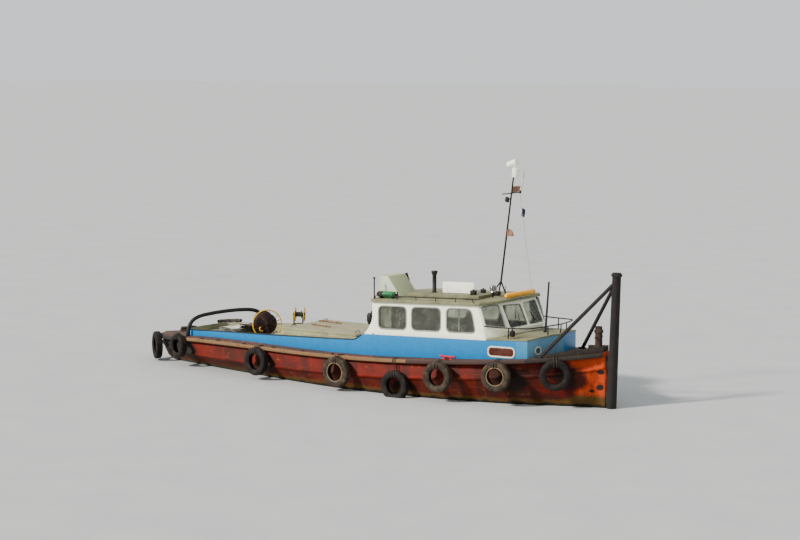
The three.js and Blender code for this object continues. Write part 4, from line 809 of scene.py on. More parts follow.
# Solids that keep their own shape: finishes, slot, crease angle, bevel, choice of faces and cuts
TRUNK_PAINT = "trunk_blue casing_cream cap_dark trunk_chalky trunk_pale"
DRESS = {
    "hull_topsides": ("topside_red deck_brown", "topsideRed", 52, 0, deck_faces),
    "hull_stern": ("stern_dark deck_brown", "sternDark", 25, 0, deck_faces),
    "hull_bottom": ("bottom_red", "bottomRed", 30),
    "rub_rail": ("rail_brown rail_top bulwark_dark rail_fore", "railBrown", 38, 0.008, rail_faces),
    "bow_bulwark": ("bulwark_dark", "rustDark", 30, 0.005),
    "bow_post": ("post_brown", "rustDark", 35, 0.006),
    "bow_bitt": ("bitt_brown", "rustDark", 35, 0.004),
    "stern_bitt": ("bitt_brown", "sternDark", 35, 0.004),
    "trunk": (TRUNK_PAINT, "blue", 30, 0.006, trunk_faces, (PALE_FROM,)),
    "fore_cabin_top": ("roof_beige", "beige", 30, 0.008),
    "well_sole": ("sole_grey", "cream", 30),
    "engine_casing": ("casing_cream", "cream", 30, 0.006),
    "engine_hatch": ("casing_cream", "beige", 30, 0.006),
    "engine": ("engine_grey", "greyEngine", 30, 0.03),
    "wheelhouse": ("house_white casing_cream lining_brown", "white", 30, 0.005, wall_faces),
    "wheelhouse_roof": ("roof_beige lining_brown", "beige", 30, 0.01, roof_faces),
    "wheelhouse_door": ("house_white", "white", 30, 0.004),
    "cabin_fitout": ("wood_brown", "wood", 30, 0.006),
    "helm_wheel": ("wood_brown", "black", 40),
    "propeller": ("bronze", "bronze", 40, 0.002),
    "rudder": ("bottom_red", "rustDark", 35, 0.004),
    "roof_hood": ("hood_beige hood_mint", "beige", 30, 0.008, hood_faces),
    "mast": ("fitting_black board_white", "black", 40, 0, mast_faces),
    "hose_reel": ("reel_yellow hose_dark", "yellow", 40, 0, reel_faces("hose_reel")),
    "cable_reel": ("reel_yellow cap_dark", "yellow", 40, 0, reel_faces("cable_reel")),
    "gas_bottle": ("bottle_green bitt_brown", "green", 40, 0, bottle_faces, BOTTLE_GREEN),
    "tow_hoop": ("fitting_black", "black", 45),
    "roof_locker": ("roof_beige", "beige", 30, 0.008),
    "exhaust_pipe": ("fitting_black", "black", 40),
    "vent_pipe": ("fitting_black", "black", 40),
    "name_board": ("board_white", "board", 30, 0.003),
    "roof_grab_rail": ("fitting_black", "black", 50),
    "searchlight": ("fitting_black", "black", 35),
    "roof_float": ("float_orange", "ochre", 40, 0.006),
    "foredeck_rail": ("fitting_black", "black", 50),
    "bow_staff": ("fitting_black", "black", 40),
    "aft_lamp": ("fitting_black", "black", 40, 0.004),
    "hose_reel_stand": ("bitt_brown", "rustDark", 40),
    "cable_reel_stand": ("bitt_brown", "rustDark", 40),
}
for node, choices in DRESS.items():
    dressed(node, *choices)


# Tyre fenders: a hollow worn tyre with beads, shoulders and tread grooves, each half as (radius, breadth)
TYRES = ("stern", "quarter", "aft", "waist", "low", "shoulder", "fore", "bow")
DRY_TYRES = ("waist", "shoulder", "fore")
HALF_TYRE = 0.103
TREAD = [
    (0.565, -0.62), (0.6, -0.74), (0.66, -0.9), (0.74, -0.99), (0.84, -0.99), (0.9, -0.93), (0.945, -0.85),
    (0.985, -0.72), (0.998, -0.55), (0.998, -0.4), (0.975, -0.37), (0.975, -0.3), (1.0, -0.27), (1.0, -0.05),
    (0.975, -0.03),
]
HOLLOW = [(0.575, 0.52), (0.62, 0.62), (0.72, 0.80), (0.86, 0.72), (0.93, 0.4)]


def mirrored(half):
    return [(radius, -breadth) for radius, breadth in reversed(half)]


TYRE_PROFILE = TREAD + mirrored(TREAD) + HOLLOW + [(0.94, 0.0)] + mirrored(HOLLOW) + TREAD[:1]


@functools.cache
def tyre_place(node):
    """The middle, outward axis and radius of a tyre, from its solid."""
    low, high = box_of(node)
    middle = (low + high) / 2
    offsets = [(v.co.x - middle.x, v.co.y - middle.y) for v in nodes[node].data.vertices]
    xx, yy = (sum(offset ** 2 for offset in row) for row in zip(*offsets))
    xy = sum(x * y for x, y in offsets)
    turn = 0.5 * math.atan2(2 * xy, xx - yy) + math.pi / 2
    axis = Vector((math.cos(turn), math.sin(turn), 0))
    if axis.y * middle.y < 0:
        axis.negate()
    return middle, axis, (high.z - low.z) / 2


for place in TYRES:
    for side in SIDES:
        node = f"tyre_{place}_{side}"
        middle, axis, radius = tyre_place(node)
        build = bmesh.new()
        turned(build, [(r * radius, w * HALF_TYRE) for r, w in TYRE_PROFILE], middle, axis, 56)
        rubber = "tyre_rubber" if place in DRY_TYRES else "wet_rubber"
        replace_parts(piece(node + "_ring", build, 40, rubber), node)


# Side windows as (aft edge, fore edge at the head, fore edge at the sill), in a soft grey rubber seal
SIDE_WINDOWS = ((1.0, 1.92, 1.92), (2.06, 3.0, 3.0), (3.15, 3.93, 4.085))
WALL_HALF, WALL_AFT, WALL_TAPER = 1.415, 0.82, 0.065 / 3.41


def sill(x):
    return 1.637 + 0.037 * x


def head(x):
    return 2.262 + 0.042 * x


def house_side(side):
    """Puts a point of the side view, with its distance out from the wall's middle, on the wheelhouse wall."""
    def place(point, out):
        y = WALL_HALF - (point.x - WALL_AFT) * WALL_TAPER
        return Vector((point.x, side * (y + out), point.y))
    return place


def side_windows(name, side):
    seals, panes = builds(2)
    for aft, fore, foot in SIDE_WINDOWS:
        corners = [(aft, sill(aft)), (foot, sill(foot)), (fore, head(fore)), (aft, head(aft))]
        outline = rounded_outline(corners, 0.165, 8)
        glazed(seals, panes, outline, house_side(side), (-0.03, 0.012, -0.012, 0.036), -0.002, -0.003, 0.003)
    piece(f"window_seals_{name}", seals, 50, "seal_rubber")
    piece(f"window_glass_{name}", panes, 50, "glass_grey")


# Front walls: corners as (x at the head, x at the foot, y), panes as insets, sills and heads at both edges
HOUSE_CORNERS = [(4.14, 4.38, 1.375), (4.49, 4.84, 0.85), (4.575, 4.905, 0.0)]
FRONT_PANES = [((0.075, 0.06), (2.02, 1.93), (2.485, 2.512)), ((0.06, 0.04), (1.93, 1.94), (2.505, 2.485))]
FRONT_FOOT, FRONT_HEAD, FRONT_RISE = 1.7, 2.46, 0.76
WIPER_ARM = ((0, -0.03, 0.03), (0, 0, 0.055), (0.1, 0.24, 0.045))
WIPER_BLADE = ((0.06, 0.08, 0.04), (0.13, 0.36, 0.04))


def front_corner(index, z, side):
    top, foot, y = HOUSE_CORNERS[index]
    return Vector((foot + (top - foot) * (z - FRONT_FOOT) / FRONT_RISE, side * y, z))


def front_windows(name, side):
    seals, panes, wipers = builds(3)
    for k, (insets, sills, heads) in enumerate(FRONT_PANES):
        origin = front_corner(k, FRONT_FOOT, side)
        right = (front_corner(k + 1, FRONT_FOOT, side) - origin).normalized()
        rise = front_corner(k, FRONT_HEAD, side) - origin
        up = (rise - right * rise.dot(right)).normalized()
        out = right.cross(up)
        out *= math.copysign(1, out.x)

        def flat(index, z, inset):
            spot = front_corner(index, z, side) - origin
            return (spot.dot(right) + inset, spot.dot(up))

        def place(point, depth):
            return origin + right * point[0] + up * point[1] + out * (depth - 0.025)
        corners = [
            flat(k, sills[0], insets[0]), flat(k + 1, sills[1], -insets[1]),
            flat(k + 1, heads[1], -insets[1]), flat(k, heads[0], insets[0]),
        ]
        outline = rounded_outline(corners, 0.075, 6)
        glazed(seals, panes, outline, place, (-0.02, 0.01, -0.01, 0.034), -0.002, -0.003, 0.003)
        foot, low = ((corners[0][n] + corners[1][n]) / 2 for n in range(2))
        for bar, radius in ((WIPER_ARM, 0.006), (WIPER_BLADE, 0.008)):
            path = [place((foot + across, low + rise), depth) for across, rise, depth in bar]
            tube(wipers, path, radius, 6)
    piece(f"front_seals_{name}", seals, 50, "seal_rubber")
    piece(f"front_glass_{name}", panes, 50, "glass_grey")
    piece(f"wipers_{name}", wipers, 50, "fitting_black")


for name, side in SIDES.items():
    side_windows(name, side)
    front_windows(name, side)


# Slings that hold the tyres, and pale tan rings at the beads of two of them, painted as the highlight on the
# lit bead edge
RAIL_LOOKS = 44
SLING_LEAN = 0.035
SLING_ON_RAIL = ((-0.13, 0.002), (-0.06, 0.03), (0.004, 0.022), (0.036, -0.05))
SLING_ROUND_TYRE = ((0.095, 0.93), (0.118, 0.78), (0.095, 0.6), (0.02, 0.54))


def rail_edge(middle, axis, radius):
    """The highest place of the rail abreast of a tyre."""
    over = None
    for step in range(RAIL_LOOKS):
        start = middle + axis * 1.2 + UP * (radius * 0.3 + step * 0.02)
        over = surface("rub_rail").ray_cast(start, -axis, 2.0)[0] or over
    return over


def tyre_ropes(name, side):
    slings, beads = builds(2)
    for place in TYRES[1:]:
        middle, axis, radius = tyre_place(f"tyre_{place}_{name}")
        over = rail_edge(middle, axis, radius)
        path = [over + axis * out + UP * rise for out, rise in SLING_ON_RAIL]
        path.append(middle - axis * 0.02 + UP * (radius + 0.014))
        path += [middle + axis * out + UP * radius * rise for out, rise in SLING_ROUND_TYRE]
        for lean in (-SLING_LEAN, SLING_LEAN):
            tube(slings, smooth_path([spot + axis.cross(UP) * lean for spot in path], 4), 0.011, 7)
        # A pale ring at the bead: painted highlight where light catches the bead edge.
        if place in ("waist", "fore"):
            ring_bar(beads, middle + axis * 0.083, axis, radius * 0.6, 0.014, 48)
    piece(f"tyre_slings_{name}", slings, 60, "rope_dark")
    piece(f"tyre_bead_highlights_{name}", beads, 60, "tan_and_painted_highlight")


# Portlights: an oblong one in each side of the trunk, and a round one in the starboard front face
OBLONG = (4.42, 5.17, 1.235, 1.515)
ROUND_SEEN = Vector((5.553, -0.755, 1.41))


def side_portlight(name, side):
    rims, panes = builds(2)
    outline = rounded_outline(oblong(*OBLONG), 0.13, 8)

    def place(point, depth):
        spot, normal = side_of("trunk", point.x, point.y, side)
        return spot + normal * depth
    glazed(rims, panes, outline, place, (-0.038, 0.004, -0.004, 0.018), -0.036, -0.002, 0.006)
    piece(f"portlight_rim_{name}", rims, 50, "skin_cream")
    piece(f"portlight_glass_{name}", panes, 50, "portlight_red")
    bolts = offset_outline(outline, -0.017)[::5]
    spots = [(place(point, 0.02), side_of("trunk", point.x, point.y, side)[1]) for point in bolts]
    studs(f"portlight_bolts_{name}", spots, "fitting_black", 0.007, 0.006)


def front_portlight():
    spot, normal, _, _ = surface("trunk").ray_cast(CAMERA_SPOT, (ROUND_SEEN - CAMERA_SPOT).normalized())
    place = on_wall(spot, normal)
    rims, panes = builds(2)
    glazed(rims, panes, oval(0.085, 0.085), place, (-0.008, 0.026, -0.004, 0.02), -0.006, -0.002, 0.007)
    piece("round_rim", rims, 50, "skin_cream")
    piece("round_glass", panes, 50, "portlight_grey")
    spots = [(place(point, 0.021), normal) for point in oval(0.095, 0.095, 8)]
    studs("round_bolts", spots, "fitting_black", 0.006, 0.005)


# Deck cleats by the wheelhouse
CLEAT_X = 3.32


def deck_cleat(name, side):
    build = bmesh.new()
    y = side * (abs(side_of("trunk", CLEAT_X, 1.12, side)[0].y) + 0.11)
    foot = drop("hull_topsides", CLEAT_X, y)
    low, high = (CLEAT_X - 0.17, y - 0.05, foot - 0.004), (CLEAT_X + 0.17, y + 0.05, foot + 0.014)
    block(build, low, high, 0.004)
    for x in (CLEAT_X - 0.1, CLEAT_X + 0.1):
        tube(build, [(x, y, foot + 0.008), (x, y, foot + 0.065)], [0.034, 0.026], 14)
    horn = [(CLEAT_X + ahead, y, foot + 0.068 + 0.2 * ahead ** 2) for ahead in (-0.25, -0.2, 0.0, 0.2, 0.25)]
    tube(build, smooth_path(horn, 5), [0.016] + [0.026] * 19 + [0.016], 12)
    piece(f"deck_cleat_{name}", build, 45, "cleat_red")


for name, side in SIDES.items():
    tyre_ropes(name, side)
    side_portlight(name, side)
    deck_cleat(name, side)
front_portlight()


# Casing: planked hatch lid with lifting bars, and two poles in clips
LID_EDGE = (-2.63, -0.1)
LID_HALF = 0.985
PLANKS = 11
PLANK_WIDTH = 2 * LID_HALF / PLANKS
NAIL_X = (-2.56, -1.365, -0.17)
BAR_SHAPE = ((-0.09, 0), (-0.086, 0.03), (-0.06, 0.045), (0.06, 0.045), (0.086, 0.03), (0.09, 0))
POLE_RADIUS = 0.02


def lid_top(x, y):
    return drop("engine_hatch", x, y)


def hatch_planks():
    build = bmesh.new()
    stops = [LID_EDGE[0] + (LID_EDGE[1] - LID_EDGE[0]) * n / 6 for n in range(7)]
    for k in range(PLANKS):
        low, high = -LID_HALF + k * PLANK_WIDTH + 0.005, -LID_HALF + (k + 1) * PLANK_WIDTH - 0.005
        edge = [(low, -0.001), (low + 0.003, 0.005), (low + 0.006, 0.008)]
        edge += [(high - 0.006, 0.008), (high - 0.003, 0.005), (high, -0.001)]
        skin(build, [[Vector((x, y, lid_top(x, y) + rise)) for y, rise in edge] for x in stops])
    piece("hatch_planks", build, 30, "plank_cream", "engine_hatch")
    middles = [-LID_HALF + (k + 0.5) * PLANK_WIDTH for k in range(PLANKS)]
    rows = [(x, y + gap) for y in middles for x in NAIL_X for gap in (-0.05, 0.05)]
    spots = [(Vector((x, y, lid_top(x, y) + 0.009)), UP) for x, y in rows]
    studs("hatch_nails", spots, "cap_dark", 0.008, 0.004, "engine_hatch")


def hatch_bars():
    build = bmesh.new()
    for x, y in ((-2.52, -0.62), (-2.52, 0.8), (-0.3, -0.62), (-0.3, 0.62)):
        top = lid_top(x, y) + 0.006
        for end in (y - 0.09, y + 0.09):
            block(build, (x - 0.025, end - 0.02, top - 0.002), (x + 0.025, end + 0.02, top + 0.008), 0.002)
        tube(build, smooth_path([(x, y + across, top + rise) for across, rise in BAR_SHAPE], 4), 0.008, 8)
    piece("hatch_lifting_bars", build, 45, "fitting_black", "engine_hatch")


def hatch_poles():
    poles, clips = builds(2)
    taper = [0.014, POLE_RADIUS, POLE_RADIUS, POLE_RADIUS * 0.9, 0.012]
    for ends in (((-2.58, 0.585), (-1.7, 0.49)), ((-2.26, -0.155), (-1.5, -0.27))):
        start, end = (Vector((x, y, lid_top(x, y) + 0.008 + POLE_RADIUS)) for x, y in ends)
        tube(poles, [start.lerp(end, t) for t in (0, 0.01, 0.5, 0.99, 1)], taper, 14)
        for at in (start.lerp(end, 0.2), start.lerp(end, 0.8)):
            ring_bar(clips, at, (end - start).normalized(), POLE_RADIUS + 0.004, 0.006, 16)
            low = at - Vector((0.014, 0.04, POLE_RADIUS + 0.004))
            block(clips, low, at + Vector((0.014, 0.04, 0.004 - POLE_RADIUS)), 0.002)
    piece("boathook_poles", poles, 45, "wood_brown", "engine_hatch")
    piece("boathook_clips", clips, 45, "fitting_black", "engine_hatch")


hatch_planks()
hatch_bars()
hatch_poles()


# Rolled canvas on the coaming's port aft corner: a spiral of cloth with three ties
COAMING_END, COAMING_BEND = -6.37, -5.7
CORNER_POWER = 0.62
ROLL_TIES = (4, 15, 26)
ROLL_RADIUS, ROLL_CORE, ROLL_TURNS, ROLL_STEPS = 0.058, 0.016, 4.4, 109


def coaming_top(x):
    return 1.345 + COAMING_SLOPE * x


def coaming_corner(degrees, inset, lift, side):
    """A place on the squared quarter round of the coaming's aft corner, so far inside and above its edge."""
    angle = math.radians(degrees)
    half = abs(side_of("trunk", COAMING_BEND, 1.0, 1)[0].y) - inset
    x = COAMING_BEND - (COAMING_BEND - COAMING_END - inset) * math.cos(angle) ** CORNER_POWER
    return Vector((x, side * half * math.sin(angle) ** CORNER_POWER, coaming_top(x) + lift))


def canvas_roll():
    line = [coaming_corner(25 + 64 * k / 29, 0.025, 0.051, 1) for k in range(30)]
    outward = [ahead.cross(UP).normalized() for ahead in headings(line)]

    def round_line(k, radius, angle, sag):
        rise = radius * math.sin(angle)
        return line[k] + outward[k] * radius * math.cos(angle) + UP * (rise * (sag if rise < 0 else 1.0))
    rows = []
    for k in range(len(line)):
        row = []
        for t in [n / ROLL_STEPS for n in range(ROLL_STEPS + 1)]:
            angle = 2 * math.pi * ROLL_TURNS * t + 0.6
            radius = ROLL_CORE + (ROLL_RADIUS - ROLL_CORE) * t + 0.0016 * math.sin(angle * 3 + k * 0.7)
            row.append(round_line(k, radius, angle, 0.78))
        rows.append(row)
    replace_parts(grid_cloth("rolled_canvas", rows, "canvas_dark"), "canvas_roll")
    ties = bmesh.new()
    for k in ROLL_TIES:
        tube(ties, [round_line(k, ROLL_RADIUS + 0.004, a, 0.8) for a in circle(24) + [2 * math.pi]], 0.006, 7)
    piece("canvas_ties", ties, 60, "rope_dark")


canvas_roll()


# Two canvases folded down in the well
LAYER_PITCH = 0.024
FOLD_COLUMNS = 26


def folded_canvas(name, finish, aft, width, ends, layers, seed):
    rng = random.Random(seed)
    profile = []
    for layer in range(layers):
        rise = 0.012 + layer * LAYER_PITCH
        span = [n / 8 for n in range(9)]
        for t in span if layer % 2 == 0 else span[::-1]:
            profile.append((t * width, rise + 0.006 * math.sin(t * 5 + layer)))
        if layer < layers - 1:
            profile.append((width + 0.011 if layer % 2 == 0 else -0.011, rise + LAYER_PITCH / 2))
    waves = [rng.uniform(0, 6.3) for _ in range(4)]
    rows = []
    for k in range(FOLD_COLUMNS + 1):
        y = ends[0] + (ends[1] - ends[0]) * k / FOLD_COLUMNS
        row = []
        for across, rise in profile:
            lean = 0.028 * math.sin(y * 5.2 + waves[0]) + 0.016 * math.sin(y * 11 + waves[1] + rise * 30)
            lift = 0.018 * (1 + math.sin(y * 7 + waves[2] + across * 6)) * (rise / (layers * LAYER_PITCH))
            x = aft + across + lean
            floor_z = drop("well_sole", min(max(x, -6.2), -3.0), y, 1.6)
            row.append(Vector((x, y, floor_z + rise + lift)))
        rows.append(row)
    grid_cloth(name, rows, finish)


folded_canvas("folded_canvas_white", "canvas_white", -5.28, 0.46, (-0.55, 0.8), 7, 7)
folded_canvas("folded_canvas_brown", "canvas_brown", -4.5, 0.36, (-0.6, 0.02), 13, 11)


# Flags and the light line at the yard
YARD_Z = 5.32
LINE_FOOT = (4.6, 0.46)


def cloth_flag(name, corners, ripple, finish, at=(0, 0, 0)):
    """A small flag between four corners: hoist top, hoist foot, fly foot, fly top."""
    top, foot, fly_foot, fly_top = (Vector(at) + Vector(corner) for corner in corners)
    out = (foot - top).cross(fly_top - top).normalized()
    rows = []
    for down in [k / 12 for k in range(13)]:
        row = []
        for along in [n / 16 for n in range(17)]:
            spot = top.lerp(fly_top, along).lerp(foot.lerp(fly_foot, along), down)
            row.append(spot + out * ripple * along * math.sin(along * 9 + down * 2.2))
        rows.append(row)
    grid_cloth(name, rows, finish)


def mast_x(z):
    return 3.93 + 0.134 * (z - 3.01)


def rigging():
    pole, line, fittings = builds(3)
    foot = Vector((mast_x(YARD_Z), 0.418, YARD_Z + 0.01))
    tip = foot + Vector((0.205, 0.0, 0.87))
    tube(pole, [foot.lerp(tip, t) for t in (0, 0.25, 0.6, 1)], [0.024, 0.022, 0.014, 0.008], 10)
    piece("yard_whip", pole, 45, "skin_cream")
    low = Vector((*LINE_FOOT, drop("wheelhouse_roof", *LINE_FOOT)))
    high = Vector((mast_x(YARD_Z), 0.40, YARD_Z))
    tube(line, [high, low], 0.005, 6)
    piece("flag_line", line, 45, "rope_pale")
    block(fittings, low - Vector((0.02, 0.02, 0.003)), low + Vector((0.02, 0.02, 0.012)), 0.003)
    tube(fittings, [foot - UP * 0.035, foot + UP * 0.05], 0.03, 12)
    lamp = Vector((mast_x(5.14) - 0.1, 0, 5.16))
    tube(fittings, [lamp + Vector((0.1, 0, 0.02)), lamp + UP * 0.02], 0.012, 8)
    profile = [(0, -0.085), (0.045, -0.08), (0.05, -0.03), (0.042, 0.03), (0.02, 0.06), (0, 0.062)]
    turned(fittings, profile, lamp, UP, 18)
    piece("mast_fittings", fittings, 45, "fitting_black")
    blue = [(0, 0, 0.1), (-0.03, 0, -0.12), (0.045, 0.03, -0.15), (0.09, 0.02, 0.06)]
    cloth_flag("pennant_blue", blue, 0.012, "flag_blue", low.lerp(high, 0.81))
    cream = [(0, 0, 0.05), (0, 0, -0.06), (0.05, 0.01, -0.05), (0.06, 0.01, 0.03)]
    cloth_flag("pennant_cream", cream, 0.006, "canvas_white", low.lerp(high, 0.87))
    x = mast_x(5.42)
    upper = [(x, 0.02, 5.5), (mast_x(5.33), 0.02, 5.33), (x + 0.02, 0.36, 5.35), (x + 0.03, 0.37, 5.49)]
    cloth_flag("flag_upper", upper, 0.02, "flag_pink")
    x = mast_x(4.3)
    lower = [(mast_x(4.41), -0.02, 4.41), (mast_x(4.2), -0.02, 4.2)]
    lower += [(x + 0.2, 0.04, 4.2), (x + 0.13, 0.05, 4.36)]
    cloth_flag("flag_lower", lower, 0.02, "flag_pink")


rigging()


# Roof: lamp lens, cable along the locker, small boxes, a rod and a horn
LAMP_CENTRE = Vector((4.02, -0.52, 2.879))
LAMP_AXIS = Vector((0.8, -0.6, 0))
CABLE_Y = -1.045
ROOF_BOXES = (
    ("roof_locker", 3.62, -0.83, 0.07, 0.12), ("wheelhouse_roof", 3.2, 0.26, 0.06, 0.11),
    ("wheelhouse_roof", 3.9, -0.16, 0.08, 0.1),
)
ROD = (4.36, -0.45)


def roof_top(x, y):
    return drop("wheelhouse_roof", x, y)


def searchlight_front():
    ring, lens = builds(2)
    profile = [(0.06, 0.066), (0.09, 0.066), (0.092, 0.078), (0.084, 0.086), (0.066, 0.084), (0.06, 0.066)]
    turned(ring, profile, LAMP_CENTRE, LAMP_AXIS)
    profile = [(0, 0.062), (0.063, 0.062), (0.063, 0.07), (0.04, 0.078), (0, 0.081)]
    turned(lens, profile, LAMP_CENTRE, LAMP_AXIS)
    piece("searchlight_ring", ring, 45, "steel_bright")
    piece("searchlight_lens", lens, 50, "lamp_glass")


def roof_small():
    build, horn = builds(2)
    cable = [
        (x, CABLE_Y - 0.006 * math.sin(x * 9), roof_top(x, CABLE_Y) + 0.012)
        for x in [1.7 + 0.2 * k for k in range(12)]
    ]
    tube(build, smooth_path(cable, 3), 0.013, 8)
    for x in (1.9, 2.5, 3.1, 3.7):
        top = roof_top(x, CABLE_Y)
        low, high = (x - 0.012, CABLE_Y - 0.04, top - 0.002), (x + 0.012, CABLE_Y + 0.04, top + 0.028)
        block(build, low, high, 0.003)
    for node, x, y, half, tall in ROOF_BOXES:
        top = drop(node, x, y)
        block(build, (x - half, y - half * 0.8, top - 0.004), (x + half, y + half * 0.8, top + tall), 0.01)
        tube(build, [(x, y, top + tall - 0.004), (x, y, top + tall + 0.03)], 0.02, 10)
    profile = [(0, -0.004), (0.035, -0.004), (0.035, 0.008), (0.012, 0.016), (0.009, 0.3), (0, 0.3)]
    turned(build, profile, (*ROD, roof_top(*ROD)), UP, 14)
    piece("roof_fittings", build, 45, "fitting_black")
    spot = Vector((3.74, -0.08, roof_top(3.7, -0.1) + 0.07))
    profile = [(0, -0.1), (0.03, -0.09), (0.034, -0.03), (0.012, 0.0), (0.014, 0.12)]
    profile += [(0.03, 0.2), (0.058, 0.235), (0.052, 0.235), (0.02, 0.18), (0, 0.16)]
    turned(horn, profile, spot, (1, -0.2, 0), 20)
    tube(horn, [spot - UP * 0.074, spot], 0.016, 8)
    piece("roof_horn", horn, 45, "steel_bright")


# Bottle straps and board screws
BOTTLE_Y = -1.3


def bottle_middle(x):
    return Vector((x, BOTTLE_Y, 2.559 + 0.036 * x))


def bottle_straps():
    build = bmesh.new()
    profile = [(0.078, -0.018), (0.082, -0.018), (0.083, 0.018), (0.078, 0.018), (0.078, -0.018)]
    for x in (1.065, 1.485):
        turned(build, profile, bottle_middle(x), (1, 0, 0), 36)
    z = bottle_middle(1.2).z
    tube(build, [(1.47, BOTTLE_Y, z), (1.512, BOTTLE_Y, z)], 0.02, 10)
    piece("bottle_straps", build, 45, "fitting_black")


def board_trim():
    low, high = box_of("name_board")
    board = surface("name_board")
    across = (low.x + 0.05, (low.x + high.x) / 2, high.x - 0.05)
    places = [(x, z) for x in across for z in (2.78, high.z - 0.035)]
    spots = [board.ray_cast(Vector((x, -2.0, z)), Vector((0, 1, 0)))[:2] for x, z in places]
    studs("board_screws", spots, "fitting_black", 0.009, 0.006)


searchlight_front()
roof_small()
bottle_straps()
board_trim()


# Fore rail: lantern hung on the starboard bend
def rail_lantern():
    build, ring = builds(2)
    best = surface("foredeck_rail").find_nearest(Vector((5.06, -1.19, 1.99)))[0]
    spot = best - UP * 0.13
    tube(build, [best, spot + UP * 0.08], 0.01, 8)
    profile = [(0, 0.095), (0.03, 0.09), (0.034, 0.07), (0.066, 0.05)]
    profile += [(0.07, -0.05), (0.05, -0.075), (0, -0.08)]
    turned(build, profile, spot, UP, 20)
    for a in circle(6):
        bar = spot + Vector((math.cos(a), math.sin(a), 0)) * 0.074
        tube(build, [bar + UP * 0.05, bar - UP * 0.055], 0.006, 6)
    ring_bar(ring, spot - UP * 0.13, LAMP_AXIS, 0.05, 0.008)
    piece("rail_lantern", build, 45, "fitting_black")
    piece("lantern_ring", ring, 60, "tan_and_painted_highlight")


rail_lantern()


# Door: a window and a lower panel
WINDOW_FOOT, PANEL_TOP = 1.84, 1.72


def door_trim():
    low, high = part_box("wheelhouse_door")
    face = surface("wheelhouse_door").ray_cast(Vector((-1, 0, 1.9)), Vector((1, 0, 0)))[0].x
    half = high[1] - 0.16

    def place(point, depth):
        return Vector((face - depth, point.x, point.y))
    rims, panes, beads = builds(3)
    window = rounded_outline(oblong(-half, half, WINDOW_FOOT, high[2] - 0.13), 0.07, 6)
    glazed(rims, panes, window, place, (-0.016, 0.014, -0.003, 0.008), -0.014, -0.002, 0.003)
    panel = rounded_outline(oblong(-half, half, low[2] + 0.14, PANEL_TOP), 0.05, 5)
    framed(beads, panel, place, -0.012, 0.012, -0.003, 0.006)
    piece("door_window_rim", rims, 45, "seal_rubber", "wheelhouse_door")
    piece("door_window_glass", panes, 45, "portlight_grey", "wheelhouse_door")
    piece("door_panel_bead", beads, 45, "house_white", "wheelhouse_door")


# Hull: fairlead holes at the stem as (x, z, half width, half height), and zinc anodes as (x, z)
STEM_HOLES = ((7.04, 0.92, 0.085, 0.045), (7.02, 0.53, 0.08, 0.06), (6.83, 0.43, 0.05, 0.03))
ANODES = ((-5.4, -0.35), (-4.2, -0.4), (-1.0, -0.5), (2.4, -0.45))


def hull_trim(name, side):
    holes, zincs = builds(2)
    # Each hole is a rim round a near-black sheet on the plating: painted shade for the dark inside of the
    # opening.
    for x, z, wide, tall in STEM_HOLES:
        place = on_wall(*side_of("hull_bottom", x, z, side))
        rim = (-0.004, 0.012, -0.004, 0.007)
        glazed(holes, holes, oval(wide, tall, 20), place, rim, -0.003, -0.003, 0.002)
    piece(f"stem_holes_{name}", holes, 45, "hole_painted_shade")
    for x, z in ANODES:
        place = on_wall(*side_of("hull_bottom", x, z, side))
        outline = rounded_outline(oblong(-0.16, 0.16, -0.04, 0.04), 0.02, 3)
        sheet_of(zincs, outline, place, -0.004, 0.02)
        sheet_of(zincs, offset_outline(outline, -0.012), place, 0.018, 0.028)
        for end in (-0.21, 0.21):
            sheet_of(zincs, oblong(end - 0.05, end + 0.05, -0.012, 0.012), place, -0.003, 0.006)
    piece(f"anodes_{name}", zincs, 35, "zinc")


door_trim()
for name, side in SIDES.items():
    hull_trim(name, side)


# Dark capping bar along the coaming's edge, up the sweep at the wheelhouse
SWEEP = [(0.5, 1.506), (0.4, 1.44), (0.3, 1.385), (0.22, 1.36)]


def coaming_cap():
    build = bmesh.new()
    edge = SWEEP + [(x, coaming_top(x)) for x in [0.18 - 0.42 * k for k in range(14)]]
    for side in SIDES.values():
        line = [Vector((x, 0, z)) for x, z in edge]
        for spot in line:
            spot.y = side_of("trunk", spot.x, spot.z - 0.02, side)[0].y
        line += [coaming_corner(degrees, 0, 0, side) for degrees in (75, 60, 45, 30, 15, 0)]
        tube(build, smooth_path([spot - UP * 0.012 for spot in line], 3), 0.015, 8)
    piece("coaming_cap", build, 60, "cap_dark")


coaming_cap()


# Hose turns on the big reel's drum, its spokes, and a nozzle bent through (degrees, radius, distance out)
HOSE_TURNS, HOSE_PITCH, HOSE_RADIUS = 12, 0.044, 0.0215
DRUM_START, DRUM_RADIUS, SPOKE_REACH = 0.148, 0.226, 0.392
NOZZLE_BEND = ((-22, 0.2, 0.02), (-28, 0.245, 0.035), (-42, 0.26, 0.035), (-56, 0.23, 0.02))


def hose_turns():
    hose, spokes, nozzle = builds(3)
    hub, axis, _ = REELS["hose_reel"]
    for k in range(HOSE_TURNS):
        ring_bar(hose, hub - axis * (DRUM_START + HOSE_PITCH * k), axis, DRUM_RADIUS, HOSE_RADIUS, 40)
    piece("hose_turns", hose, 60, "hose_dark", "hose_reel")
    across = axis.cross(UP)

    def on_ring(degrees, radius, out=0.0):
        angle = math.radians(degrees)
        return hub + across * radius * math.cos(angle) + UP * radius * math.sin(angle) + axis * out
    for degrees in range(20, 380, 40):
        tube(spokes, [on_ring(degrees, 0.03), on_ring(degrees, SPOKE_REACH)], 0.007, 6)
    piece("reel_spokes", spokes, 50, "fitting_black", "hose_reel")
    tube(nozzle, smooth_path([on_ring(*spot) for spot in NOZZLE_BEND], 5), 0.017)
    piece("hose_nozzle", nozzle, 50, "reel_yellow", "hose_reel")


hose_turns()


